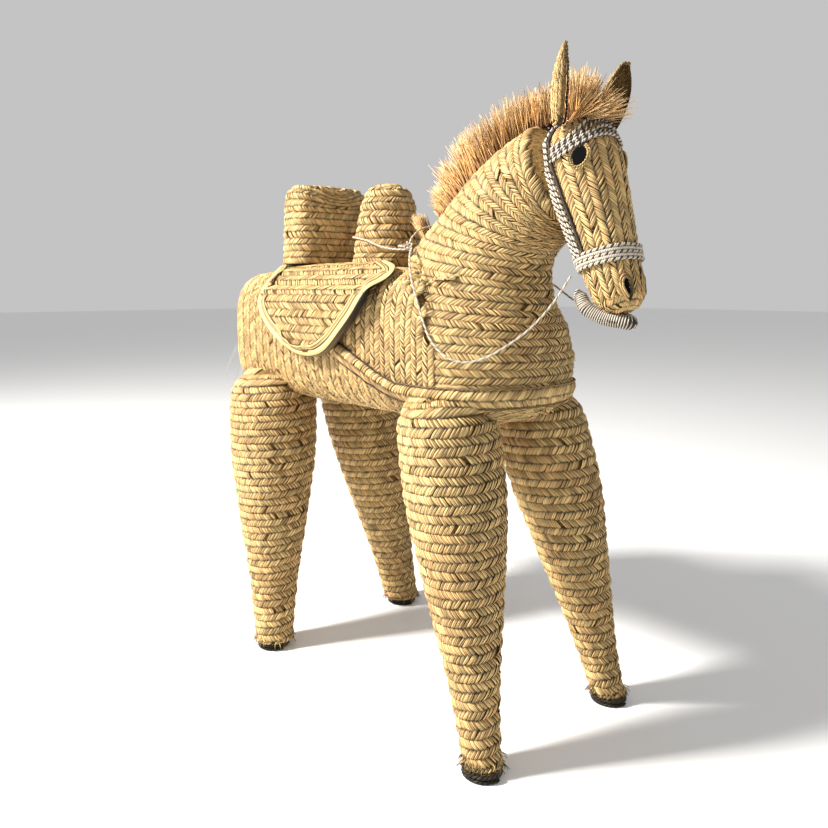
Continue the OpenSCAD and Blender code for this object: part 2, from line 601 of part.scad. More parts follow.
pad_top = back_height + sewn_gap + pad_thickness + 1.5;
cantle_x = -360;
function cantle_ring(t, wall) = let (h = t * cantle_height, shrink = 1 - 0.12 * t, round_off = t > 0.84
    ? pow((t - 0.84) / 0.16, 2) * 16 : 0,
    a = cantle_depth / 2 * shrink - wall - round_off, b = cantle_width / 2 * shrink - wall - round_off,
        lean = -8 * t)
  ring([cantle_x - a + lean, pad_top + h - 7 * (1 - t)], [cantle_x + a + lean, pad_top + h - 7 * (1 - t)],
      b, 3.2, 28);
module cantle_cover() color(straw) at_stance() {
  outer = [for (t = [0.06, 0.28, 0.5, 0.7, 0.84, 0.92, 0.97, 1]) cantle_ring(t, 0)];
  inner = [for (t = [0.92, 0.84, 0.5, 0.06]) cantle_ring(t, cover_wall)];
  skin(concat(inner, outer));
}
module cantle_packing() color(dark_straw) at_stance() {
  skin([for (t = [0.07, 0.5, 0.82, 0.9]) cantle_ring(t, cover_wall + pack_gap)]);
}

pommel_x = -142;
pommel_base = pad_top + 1;
module dome(width, height, wall) {
  r = width / 2 - wall;
  h = height - wall;
  polygon(concat([[0, 0], [r, 0], [r * 0.93, h * 0.3], [r * 0.84, h * 0.55]],
    [for (a = [10:10:90]) [r * 0.8 * pow(cos(a), 0.6), h * (0.55 + 0.45 * sin(a))]]));
}
module pommel_cover() color(straw) at_stance() translate([pommel_x, 0,
    pommel_base]) rotate_extrude($fn = 64) difference() {
  dome(pommel_width, pommel_height, 0);
  translate([0, -1]) dome(pommel_width, pommel_height, cover_wall);
}
module pommel_packing() color(dark_straw) at_stance() translate([pommel_x, 0,
    pommel_base]) rotate_extrude($fn = 64)
  dome(pommel_width, pommel_height - 1, cover_wall + pack_gap);

// The breast band runs from under one flap round the breast to under the other
function band_height(x) = band_z + 0.4 * max(0, 70 - x);
function band_point(s, up, out) = let (front = s < 90,
    x0 = front ? breast_mid : breast_mid - (s - 90) * 4,
    z = band_height(x0) + up, g = under_breast(min(z, trunk_z)),
    reach = (breast_reach - breast_mid) * g + out, wide = trunk_width(x0) * g + out,
    x = front ? breast_mid + reach * bent(cos(s), 2 / plan_squareness) : x0,
    y = front ? wide * bent(sin(s), 2 / plan_squareness) : wide)
  [x, -y, z];
band_places = [for (k = [8:-1:1]) 90 + k * 8, for (s = [90:-7.5:0]) s];
function band_edges(out) = let (ups = [band_width / 2, -band_width / 2]) concat(
  [for (s = band_places) [for (up = ups) band_point(s, up, out)]],
  [for (k = [len(band_places) - 2:-1:0]) [for (up = ups) let (p = band_point(band_places[k], up,
      out)) [p[0], -p[1], p[2]]]]);
module breast_band() color(straw) at_stance() plate(band_edges(3.6), band_edges(3.6 + band_thickness));

// ---- Hair ----

// Rows: root X and Z above the back, lean of the fibres, their length as a share, half thickness at the tips
mane_rows = [[30, 104, -45, 0.3, 10], [50, 121, -40, 0.66, 18], [76, 138, -36, 0.88, 24],
    [106, 154, -24, 1, 27],
  [146, 180, -18, 0.98, 30], [190, 204, -10, 0.92, 32], [236, 226, 0, 0.83, 33], [276, 238, 7, 0.76, 33],
      [298, 242, 9, 0.7, 26]];
module mane() color(hair) at_stance() {
  rings = [for (row = mane_rows) let (root = [row[0], back_height + row[1]], far = root
      + mane_length * row[3] * [sin(row[2]), cos(row[2])],
      mid = (root + far) / 2)
    [[root[0], mane_root / 2, root[1]], [mid[0], mane_root / 2 + 6, mid[1]], [far[0], row[4], far[1]],
     [far[0], -row[4], far[1]], [mid[0], -mane_root / 2 - 6, mid[1]], [root[0], -mane_root / 2, root[1]]]];
  skin(rings);
}
module withers_tuft() color(hair) at_stance() hull() {
  translate([-24, 0, back_height + 66]) rotate([0, -50, 0]) cylinder(h = 4, d = 30, $fn = 16);
  translate([-32, 0, back_height + 92]) rotate([0, -50, 0]) cylinder(h = 4, d = 46, $fn = 16);
}
module forelock() color(hair) at_stance() {
  root_x = head_top_x + 14;
  hull() {
    translate([root_x - 16, -13, head_top_z + 12]) cube([34, 26, 4]);
    translate([root_x - 14, -30, head_top_z + 74]) cube([34, 60, 4]);
    translate([root_x + 74, -34, head_top_z + 20]) cube([16, 68, 18]);
  }
}
tail_top = back_height - 44;
module tail() color(hair) at_stance() {
  x0 = -rump_reach - 1.5;
  rows = [[0, 7, 9], [0.1, 10, 16], [0.25, 17, 50], [0.45, 26, 96], [0.7, 28, 124], [1, 26, 136]];
  rings = [for (row = smooth(rows, 2)) [for (i = [0:11]) let (a = 30 * i,
      deep = row[1] * (tail_reach - 1.5) / 56)
    [x0 - deep + deep * bent(cos(a), 0.8), row[2] * bent(sin(a), 0.8), tail_top - row[0] * tail_length]]];
  skin([for (k = [len(rings) - 1:-1:0]) rings[k]]);
}

// ---- Reins ----

// Routes from the bit's corner, with heights told from the back
right_route = [[380, -48, -22], [368, -66, -56], [354, -88, -88], [338, -110, -114], [318, -134, -136],
    [296, -150, -152],
  [270, -166, -162], [242, -178, -160], [214, -184, -146], [188, -184, -122], [164, -178, -92],
      [140, -170, -58], [116, -160, -26], [92, -144, 2],
  [68, -122, 22], [46, -98, 34]];
left_route = [[380, 48, -22], [362, 66, -40], [340, 92, -56], [318, 108, -66], [292, 124, -72],
    [264, 138, -70], [236, 148, -62], [206, 152, -46],
  [174, 150, -26], [140, 142, -4], [106, 126, 20], [74, 104, 42], [46, 76, 60], [24, 44, 74],
      [6, 8, 82], [-2, -28, 76], [4, -60, 58], [22, -84, 40]];
loop_route = [[24, -96, 32], [-10, -98, 34], [-48, -94, 40], [-86, -86, 48], [-120, -74, 56],
    [-152, -72, 62], [-184, -62, 66],
  [-206, -38, 70], [-214, 0, 72], [-206, 38, 70], [-184, 62, 66], [-152, 72, 62], [-120, 70, 56],
      [-90, 52, 52],
  [-66, 20, 50], [-50, -20, 48], [-34, -56, 44], [-10, -82, 40], [18, -92, 38]];
module rein(route) color(cord_colour) at_stance() translate([0, 0, back_height])
  skin(route_tube(smooth(route, 2), rein_diameter / 2, 8));
module rein_right() rein(right_route);
module rein_left() rein(left_route);
module pommel_loop() rein(loop_route);
module rein_knot() color(cord_colour) at_stance()
  translate([34, -96, back_height + 38]) sphere(d = 17, $fn = 32);

barrel_cover();
neck_cover();
head_cover();
barrel_packing();
neck_packing();
head_packing();
leg_cover(legs[0]);  // leg_cover_front_right
leg_cover(legs[1]);  // leg_cover_front_left
leg_cover(legs[2]);  // leg_cover_rear_right
leg_cover(legs[3]);  // leg_cover_rear_left
leg_packing(legs[0]);  // leg_packing_front_right
leg_packing(legs[1]);  // leg_packing_front_left
leg_packing(legs[2]);  // leg_packing_rear_right
leg_packing(legs[3]);  // leg_packing_rear_left
sole(legs[0]);  // sole_front_right
sole(legs[1]);  // sole_front_left
sole(legs[2]);  // sole_rear_right
sole(legs[3]);  // sole_rear_left
leg_post(legs[0]);  // leg_post_front_right
leg_post(legs[1]);  // leg_post_front_left
leg_post(legs[2]);  // leg_post_rear_right
leg_post(legs[3]);  // leg_post_rear_left
spine_beam();
crossbar(crossbar_places[0]);  // front_crossbar
crossbar(crossbar_places[1]);  // rear_crossbar
neck_post();
head_post();
frame_screws();
saddle_pad();
cantle_cover();
cantle_packing();
pommel_cover();
pommel_packing();
flap_right();
flap_edging_right();
flap_left();
flap_edging_left();
breast_band();
ear_right();
ear_left();
eye_right();
eye_left();
eye_rims();
lip_roll();
browband();
noseband();
cheek_straps();
mane();
withers_tuft();
forelock();
tail();
rein_right();
rein_left();
pommel_loop();
rein_knot();
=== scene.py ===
import math
import bpy
import numpy as np
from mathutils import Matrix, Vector
from mathutils.bvhtree import BVHTree


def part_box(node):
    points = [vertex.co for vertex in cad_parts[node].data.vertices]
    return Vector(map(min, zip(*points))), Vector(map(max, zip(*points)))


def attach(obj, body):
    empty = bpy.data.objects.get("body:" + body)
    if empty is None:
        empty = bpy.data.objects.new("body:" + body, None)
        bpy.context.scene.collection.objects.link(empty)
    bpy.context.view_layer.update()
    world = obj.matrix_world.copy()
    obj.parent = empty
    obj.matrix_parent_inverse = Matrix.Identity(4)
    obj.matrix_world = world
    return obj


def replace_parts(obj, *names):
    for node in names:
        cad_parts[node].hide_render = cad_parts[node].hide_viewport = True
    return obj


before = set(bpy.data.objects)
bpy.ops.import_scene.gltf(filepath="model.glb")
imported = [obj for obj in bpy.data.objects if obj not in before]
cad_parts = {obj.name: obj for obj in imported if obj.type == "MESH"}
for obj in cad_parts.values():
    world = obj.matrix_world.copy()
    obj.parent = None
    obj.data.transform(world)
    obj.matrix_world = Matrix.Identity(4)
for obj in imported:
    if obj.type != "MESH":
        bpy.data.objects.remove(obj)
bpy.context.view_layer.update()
rng = np.random.default_rng(7)
mm = 0.001


def nodeBox(name):
    low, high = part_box(name)
    return np.array(low), np.array(high)


def nodeCentre(name):
    low, high = nodeBox(name)
    return (low + high) / 2


# The middle of the four feet: the horse stands about it, and the inner routes are counted from it
feet = [nodeCentre("sole_" + leg) for leg in ("front_right", "front_left", "rear_right", "rear_left")]
stance = np.array([(feet[0][0] + feet[2][0]) / 2, 0, 0])

view = {"place": (1.170, -1.080, 0.820), "azimuth": 48.7, "pitch": -9.1, "focal": 775 / 828}


def makeCamera():
    data = bpy.data.cameras.new("camera")
    data.sensor_width = 36
    data.lens = view["focal"] * data.sensor_width
    data.clip_end = 50
    camera = bpy.data.objects.new("camera", data)
    camera.location = Vector(view["place"]) + Vector(stance)
    camera.rotation_euler = (math.radians(90 + view["pitch"]), 0, math.radians(view["azimuth"]))
    bpy.context.scene.collection.objects.link(camera)
    bpy.context.scene.camera = camera


makeCamera()


# A socket of a shader tree that sums can be done with
class Wire:
    def __init__(self, tree, socket):
        self.tree, self.socket = tree, socket

    def node(self, kind, settings=None, out=0, **inputs):
        made = self.tree.nodes.new(kind)
        for key, value in (settings or {}).items():
            if key == "stops":
                ramp = made.color_ramp
                while len(ramp.elements) < len(value):
                    ramp.elements.new(0.5)
                for element, (place, colour) in zip(ramp.elements, value):
                    element.position, element.color = place, (*colour, 1)
            else:
                setattr(made, key, value)
        for key, value in inputs.items():
            name = key.replace("_", " ")
            socket = made.inputs[int(key[1:])] if key[0] == "i" and key[1:].isdigit() else made.inputs[name]
            if isinstance(value, Wire):
                self.tree.links.new(value.socket, socket)
            elif isinstance(value, tuple) and len(value) == 3 and socket.type == "RGBA":
                socket.default_value = (*value, 1)
            else:
                socket.default_value = value
        return Wire(self.tree, made.outputs[out])

    def math(self, operation, *values):
        inputs = {f"i{k}": value for k, value in enumerate(values)}
        return self.node("ShaderNodeMath", {"operation": operation}, **inputs)

    def __add__(self, other):
        return self.math("ADD", self, other)

    __radd__ = __add__

    def __sub__(self, other):
        return self.math("SUBTRACT", self, other)

    def __rsub__(self, other):
        return self.math("SUBTRACT", other, self)

    def __mul__(self, other):
        return self.math("MULTIPLY", self, other)

    __rmul__ = __mul__

    def span(self, low, high, toLow=0.0, toHigh=1.0):
        return self.node("ShaderNodeMapRange", {"clamp": True}, i0=self, i1=low, i2=high, i3=toLow, i4=toHigh)

    def mix(self, a, b):
        return self.node("ShaderNodeMix", {"data_type": "RGBA"}, out=2, i0=self, i6=a, i7=b)

    def times(self, colour):
        return self.node("ShaderNodeMix", {"data_type": "RGBA", "blend_type": "MULTIPLY"}, out=2, i0=1.0,
                         i6=self, i7=colour)

    def scaled(self, x, y, z):
        return self.node("ShaderNodeVectorMath", {"operation": "MULTIPLY"}, i0=self, i1=(x, y, z))

    def noise(self, scale, detail=2.0, roughness=0.5):
        return self.node("ShaderNodeTexNoise", Vector=self, Scale=scale, Detail=detail, Roughness=roughness)

    def attribute(self, name, out):
        return self.node("ShaderNodeAttribute", {"attribute_name": name}, out=out)

    def bump(self, strength, distance):
        return self.node("ShaderNodeBump", Strength=strength, Distance=distance, Height=self)

    def grey(self):
        return self.node("ShaderNodeCombineColor", Red=self, Green=self, Blue=self)

    def ramp(self, *stops):
        return self.node("ShaderNodeValToRGB", {"stops": stops}, Fac=self)


# A new material: its first wire and a call that sets the shader's own sockets
def material(name, **fixed):
    made = bpy.data.materials.new(name)
    made.use_nodes = True
    tree = made.node_tree
    shader = tree.nodes["Principled BSDF"]
    start = Wire(tree, None)

    def feed(**inputs):
        for key, value in inputs.items():
            socket = shader.inputs[key.replace("_", " ")]
            if isinstance(value, Wire):
                tree.links.new(value.socket, socket)
            else:
                socket.default_value = (*value, 1) if isinstance(value, tuple) and len(value) == 3 else value

    feed(**fixed)
    return made, start, feed


# Dry straw: each stitch has its own tone and two or three strands. Painted shade: each stitch is dark where it
# tucks under, and in the grooves between its strands
def strawMaterial(name, pale, deep, shade, patch=0.5):
    made, start, feed = material(name, Specular_IOR_Level=0.3)
    lie = start.attribute("lie", 1)
    tone = start.attribute("tone", 2)
    tuck = start.attribute("tuck", 2)
    across = lie.node("ShaderNodeSeparateXYZ", out=1, i0=lie) * 222.0
    three = across.math("ABSOLUTE", across.math("COSINE", across * 4.712))
    two = across.math("ABSOLUTE", across.math("SINE", across * 3.1416))
    strands = tone.math("GREATER_THAN", tone, 0.55)
    strands = strands * two + (1.0 - strands) * three
    streak = lie.scaled(22, 900, 1).noise(1.0, 3.0, 0.6)
    fine = lie.scaled(60, 2600, 1).noise(1.0, 2.0, 0.5)
    patches = start.node("ShaderNodeTexCoord", out=3).noise(5.0, 3.0, 0.6)
    warm = (tone * 0.75 + patches.span(0.35, 0.65) * patch - 0.15).span(0, 1)
    colour = warm.mix(pale, deep)
    colour = streak.span(0.52, 0.78).mix(colour, shade)
    colour = (fine.span(0.3, 0.8) * 0.35).mix(colour, tuple(0.55 * c for c in deep))
    light = tone.math("FRACT", tone * 7.31).span(0, 1, 0.6, 1.25)
    # painted shade: the tuck mark darkens the ends that go under the next stitch, and the grooves between
    # strands are darkened, with their crowns a little lighter
    level = light * tuck.span(0.1, 0.9, 1.0, 0.03) * strands.span(0.0, 0.85, 0.08, 1.15)
    height = strands * 0.6 + streak * 0.3 + fine * 0.15
    feed(Base_Color=colour.times(level.grey()), Roughness=fine.span(0.3, 0.8, 0.5, 0.8),
         Normal=height.bump(0.8, 0.0009))
    return made


# Loose fibre: tone by strand, paler tips, and darker roots, which are painted shade where the fibres crowd
# together at the root
def fibreMaterial(name, root, body, tip):
    made, start, feed = material(name, Specular_IOR_Level=0.4)
    lie = start.attribute("lie", 1)
    tone = start.attribute("tone", 2)
    along = start.attribute("tuck", 2)
    streak = lie.scaled(90, 700, 1).noise(1.0, 2.0, 0.6)
    colour = along.span(0.0, 0.45).mix(root, body)
    colour = (along.span(0.55, 1.0) * 0.7).mix(colour, tip)
    level = tone.span(0, 1, 0.35, 1.4) * streak.span(0.3, 0.7, 0.8, 1.1)
    feed(Base_Color=colour.times(level.grey()), Roughness=streak.span(0.3, 0.7, 0.45, 0.65))
    return made


# Spun cord: each ply has one colour, with fine fibres along it
def cordMaterial(name, colour, shade):
    made, start, feed = material(name, Specular_IOR_Level=0.25)
    lie = start.attribute("lie", 1)
    fibre = lie.scaled(300, 3000, 1).noise(1.0, 3.0, 0.6)
    blotch = lie.scaled(40, 40, 1).noise(1.0, 2.0, 0.5)
    mixed = fibre.span(0.4, 0.7).mix(colour, shade)
    feed(Base_Color=(blotch.span(0.35, 0.7) * 0.5).mix(mixed, shade),
         Roughness=fibre.span(0.3, 0.7, 0.7, 0.9), Normal=fibre.bump(0.5, 0.0003))
    return made


def timberMaterial(name):
    made, start, feed = material(name, Specular_IOR_Level=0.3)
    place = start.node("ShaderNodeTexCoord", out=3)
    grain = place.scaled(6, 90, 90).noise(1.0, 4.0, 0.6)
    pores = place.scaled(30, 500, 500).noise(1.0, 2.0, 0.6)
    colour = grain.ramp((0.3, (0.52, 0.36, 0.19)), (0.6, (0.68, 0.50, 0.29)))
    feed(Base_Color=(pores.span(0.5, 0.8) * 0.4).mix(colour, (0.36, 0.23, 0.11)),
         Roughness=pores.span(0.3, 0.7, 0.55, 0.75), Normal=(grain + pores * 0.4).bump(0.3, 0.0005))
    return made


# Dark brown straw, for the packing and for the under layer, whose dark colour is painted shade seen through the
# gaps between stitches
def packingMaterial(name):
    made, start, feed = material(name, Specular_IOR_Level=0.2)
    place = start.node("ShaderNodeTexCoord", out=3)
    stalks = place.scaled(30, 260, 260).noise(1.0, 4.0, 0.7)
    colour = stalks.ramp((0.3, (0.03, 0.014, 0.004)), (0.7, (0.26, 0.15, 0.045)))
    feed(Base_Color=colour, Roughness=stalks.span(0.2, 0.8, 0.8, 0.95), Normal=stalks.bump(0.8, 0.004))
    return made


def steelMaterial(name):
    made, start, feed = material(name, Metallic=1.0)
    brushed = start.node("ShaderNodeTexCoord", out=3).scaled(40, 40, 2200).noise(1.0, 2.0, 0.6)
    feed(Base_Color=brushed.span(0.3, 0.7).mix((0.42, 0.42, 0.44), (0.62, 0.62, 0.64)),
         Roughness=brushed.span(0.3, 0.7, 0.28, 0.5))
    return made


# Near-black felt for the eyes; the same material on the nostril hollows is painted shade
def eyeMaterial(name):
    made, start, feed = material(name, Specular_IOR_Level=0.08)
    nap = start.node("ShaderNodeTexCoord", out=3).noise(1400.0, 2.0, 0.6)
    feed(Base_Color=nap.span(0.3, 0.7).mix((0.0008, 0.0008, 0.001), (0.003, 0.003, 0.003)),
         Roughness=nap.span(0.3, 0.7, 0.8, 0.95), Normal=nap.bump(0.4, 0.0002))
    return made


materials = {
    "straw": strawMaterial("straw", (0.74, 0.54, 0.23), (0.60, 0.36, 0.14), (0.19, 0.09, 0.04)),
    "oldStraw": strawMaterial("old_straw", (0.42, 0.28, 0.13), (0.26, 0.15, 0.07), (0.10, 0.05, 0.025)),
    "edging": strawMaterial("edging_straw", (0.75, 0.56, 0.24), (0.65, 0.42, 0.16), (0.32, 0.17, 0.07), 0.3),
    "gap": packingMaterial("under_layer_painted_shade"),
    "packing": packingMaterial("straw_packing"),
    "mane": fibreMaterial("mane_fibre", (0.22, 0.10, 0.04), (0.66, 0.38, 0.14), (0.80, 0.58, 0.32)),
    "tail": fibreMaterial("tail_fibre", (0.55, 0.46, 0.32), (0.74, 0.66, 0.52), (0.82, 0.76, 0.64)),
    "whiteCord": cordMaterial("white_cord", (0.66, 0.60, 0.50), (0.36, 0.31, 0.24)),
    "blackCord": cordMaterial("black_cord", (0.022, 0.018, 0.018), (0.07, 0.055, 0.05)),
    "greyString": cordMaterial("grey_string", (0.36, 0.31, 0.23), (0.15, 0.12, 0.08)),
    "timber": timberMaterial("timber"),
    "steel": steelMaterial("screw_steel"),
    "eye": eyeMaterial("eye_felt"),
}
print("materials made:", len(materials))


# A CAD piece kept as it is, in one of the materials
def finishNode(name, finish):
    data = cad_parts[name].data
    data.materials.clear()
    data.materials.append(materials[finish])


# A mesh put together from arrays
class Bundle:
    def __init__(self):
        self.points, self.quads, self.marks, self.uvs, self.finish = [], [], [], [], []
        self.count = 0

    # Grids of points, shape (pieces, rows, columns, 3), joined into quads; marks hold tone, tuck and lie
    def grids(self, points, tone, tuck, lie, finish=0, closed=False):
        pieces, rows, columns = points.shape[:3]
        good = np.isfinite(points).all(axis=(1, 2, 3))
        points, tone, tuck, lie = points[good], tone[good], tuck[good], lie[good]
        pieces = len(points)
        if not pieces:
            return
        across = columns if closed else columns - 1
        i, j = np.meshgrid(np.arange(rows - 1), np.arange(across), indexing="ij")
        k = (j + 1) % columns
        here, below = i * columns, (i + 1) * columns
        one = np.stack([here + j, here + k, below + k, below + j], -1).reshape(-1, 4)
        quads = one[None] + (np.arange(pieces) * rows * columns)[:, None, None] + self.count
        self.points.append(points.reshape(-1, 3))
        self.quads.append(quads.reshape(-1, 4))
        self.marks.append(np.concatenate([tone.reshape(-1, 1), tuck.reshape(-1, 1), lie.reshape(-1, 3)], 1))
        # each grid has its own cell of the bake map
        u = np.stack([i, i, i + 1, i + 1], -1) / (rows - 1)
        v = np.stack([j, j + 1, j + 1, j], -1) / across
        cell = np.stack([u, v], -1).reshape(1, -1, 4, 2)
        self.uvs.append(np.broadcast_to(cell, (pieces, *cell.shape[1:])))
        self.finish.append(np.full(len(self.quads[-1]), finish))
        self.count += pieces * rows * columns

    def build(self, name, finishes, body="horse", slot="straw_braid"):
        mesh = bpy.data.meshes.new(name)
        points = np.concatenate(self.points)
        quads = np.concatenate(self.quads)
        mesh.vertices.add(len(points))
        mesh.vertices.foreach_set("co", points.astype(np.float32).ravel())
        mesh.loops.add(len(quads) * 4)
        mesh.loops.foreach_set("vertex_index", quads.astype(np.int32).ravel())
        mesh.polygons.add(len(quads))
        mesh.polygons.foreach_set("loop_start", np.arange(0, len(quads) * 4, 4, dtype=np.int32))
        mesh.polygons.foreach_set("material_index", np.concatenate(self.finish).astype(np.int32))
        mesh.polygons.foreach_set("use_smooth", np.ones(len(quads), dtype=bool))
        marks = np.concatenate(self.marks).astype(np.float32)
        for label, column in (("tone", 0), ("tuck", 1)):
            values = np.ascontiguousarray(marks[:, column])
            mesh.attributes.new(label, "FLOAT", "POINT").data.foreach_set("value", values)
        lie = np.ascontiguousarray(marks[:, 2:]).ravel()
        mesh.attributes.new("lie", "FLOAT_VECTOR", "POINT").data.foreach_set("vector", lie)
        mesh.uv_layers.new(name="OFBake").data.foreach_set("uv", self.cells().astype(np.float32).ravel())
        for finish in finishes:
            mesh.materials.append(materials[finish])
        mesh.update()
        mesh.validate()
        piece = bpy.data.objects.new(name, mesh)
        bpy.context.scene.collection.objects.link(piece)
        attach(piece, body)
        return piece

    def cells(self):
        total = sum(len(block) for block in self.uvs)
        side = math.ceil(math.sqrt(total))
        made, first = [], 0
        for block in self.uvs:
            index = first + np.arange(len(block))
            corner = np.stack([index % side, index // side], -1)[:, None, None, :]
            made.append(((corner + 0.06 + 0.88 * block) / side).reshape(-1, 2))
            first += len(block)
        return np.concatenate(made)


def unit(v):
    return v / np.maximum(np.linalg.norm(v, axis=-1, keepdims=True), 1e-12)


# A smooth line through a few points, resampled to even steps
def smoothLine(points, step):
    points = np.array(points, dtype=float)
    padded = np.concatenate([points[:1], points, points[-1:]])
    t = np.linspace(0, 1, 12, endpoint=False)[:, None]
    line = []
    for a, b, c, d in zip(padded, padded[1:], padded[2:], padded[3:]):
        square, cube = 2 * a - 5 * b + 4 * c - d, 3 * b - a - 3 * c + d
        line.append((2 * b + (c - a) * t + square * t ** 2 + cube * t ** 3) / 2)
    return evenLine(np.concatenate(line + [points[-1:]]), step)


# The length of a line up to each of its points
def runAlong(line):
    return np.concatenate([[0], np.cumsum(np.linalg.norm(np.diff(line, axis=0), axis=1))])


def evenLine(line, step):
    run = runAlong(line)
    count = max(3, int(round(run[-1] / step)) + 1)
    at = np.linspace(0, run[-1], count)
    return np.stack([np.interp(at, run, line[:, k]) for k in range(line.shape[1])], 1)


def lineFrame(line, up=(0, 0, 1)):
    along = unit(np.gradient(line, axis=0))
    side = unit(np.cross(along, np.array(up, dtype=float)))
    return along, side, np.cross(side, along)


# A round tube along a line, added to a bundle
def tube(bundle, line, radius, sides=6, tone=0.5, finish=0, side=None, over=None):
    along, s, o = lineFrame(line)
    if side is not None:
        s, o = side, over
    angle = np.linspace(0, 2 * math.pi, sides, endpoint=False)
    radius = np.broadcast_to(radius, len(line))[:, None, None]
    ring = np.cos(angle)[None, :, None] * s[:, None] + np.sin(angle)[None, :, None] * o[:, None]
    points = (line[:, None] + radius * ring)[None]
    run = runAlong(line)
    lie = np.zeros(points.shape)
    lie[..., 0] = run[None, :, None]
    lie[..., 1] = angle[None, None] * radius[None, ..., 0]
    lie[..., 2] = rng.uniform(0, 50)
    tuck = np.broadcast_to((run / run[-1])[None, :, None], points.shape[:3])
    bundle.grids(points, np.full(points.shape[:3], tone), tuck, lie, finish, closed=True)


# Plies laid round each other along a line
def twistedCord(bundle, line, radius, pitch, finishes, sides=5, normal=None):
    line = evenLine(line, pitch / 9)
    along, side, over = lineFrame(line)
    if normal is not None:
        over = unit(normal)
        side = np.cross(along, over)
    run = np.linspace(0, len(line) * pitch / 9, len(line))
    plies = len(finishes)
    start = rng.uniform(0, 2 * math.pi)
    for k, finish in enumerate(finishes):
        angle = start + 2 * math.pi * (run / pitch + k / plies)
        reach = radius * 0.5
        strand = line + reach * (np.cos(angle)[:, None] * side + np.sin(angle)[:, None] * over)
        tube(bundle, strand, radius * (0.62 if plies == 2 else 0.52), sides, rng.uniform(0, 1), finish)


# Routes count from the middle of the stance, in millimetres
reinRoutes = {
    "rein_right": [(380, -48, 842), (368, -66, 808), (354, -88, 776), (338, -110, 750), (318, -134, 728),
                   (296, -150, 712), (270, -166, 702), (242, -178, 704), (214, -184, 718), (188, -184, 742),
                   (164, -178, 772), (140, -170, 806), (116, -160, 838), (92, -144, 866), (68, -122, 886),
                   (46, -98, 898)],
    "rein_left": [(380, 48, 842), (362, 66, 824), (340, 92, 808), (318, 108, 798), (292, 124, 792),
                  (264, 138, 794), (236, 148, 802), (206, 152, 818), (174, 150, 838), (140, 142, 860),
                  (106, 126, 884), (74, 104, 906), (46, 76, 924), (24, 44, 938), (6, 8, 946),
                  (-2, -28, 940), (4, -60, 922), (22, -84, 904)],
    "pommel_loop": [(24, -96, 896), (-10, -98, 898), (-48, -94, 904), (-86, -86, 912), (-120, -74, 920),
                    (-152, -72, 926), (-184, -62, 930), (-206, -38, 934), (-214, 0, 936), (-206, 38, 934),
                    (-184, 62, 930), (-152, 72, 926), (-120, 70, 920), (-90, 52, 916), (-66, 20, 914),
                    (-50, -20, 912), (-34, -56, 908), (-10, -82, 904), (18, -92, 902)],
}
rein = {"diameter": 4 * mm, "lay": 14 * mm,
        "knotAt": (34, -96, 902), "knotCord": 1.9 * mm, "knotLay": 9 * mm}


def makeReins():
    knot = Bundle()
    centre = np.array(rein["knotAt"]) * mm + stance
    u = np.linspace(0, 2 * math.pi, 120)
    wide = 5.0 + 2.6 * np.cos(3 * u)
    turns = np.stack([wide * np.cos(2 * u), 4.4 * np.sin(3 * u), wide * np.sin(2 * u)], 1) * mm
    twistedCord(knot, centre + turns, rein["knotCord"], rein["knotLay"], (0, 0, 1), 5)
    knotPiece = knot.build("rein_knot_cords", ["whiteCord", "greyString"], slot="rein_cord")
    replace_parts(knotPiece, "rein_knot")
    for name, route in reinRoutes.items():
        line = smoothLine(np.array(route) * mm + stance, 3 * mm)
        bundle = Bundle()
        twistedCord(bundle, line, rein["diameter"] / 2, rein["lay"], (0, 0, 1), 5)
        piece = bundle.build(name + "_cords", ["whiteCord", "greyString"], slot="rein_cord")
        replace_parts(piece, name)


makeReins()


def cadMesh(*names):
    points, faces, count = [], [], 0
    for name in names:
        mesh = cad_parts[name].data
        co = np.empty(len(mesh.vertices) * 3)
        mesh.vertices.foreach_get("co", co)
        points.append(co.reshape(-1, 3))
        mesh.calc_loop_triangles()
        tri = np.empty(len(mesh.loop_triangles) * 3, dtype=np.int64)
        mesh.loop_triangles.foreach_get("vertices", tri)
        faces.append(tri.reshape(-1, 3) + count)
        count += len(mesh.vertices)
    points, faces = np.concatenate(points), np.concatenate(faces)
    return points, BVHTree.FromPolygons(points.tolist(), faces.tolist())


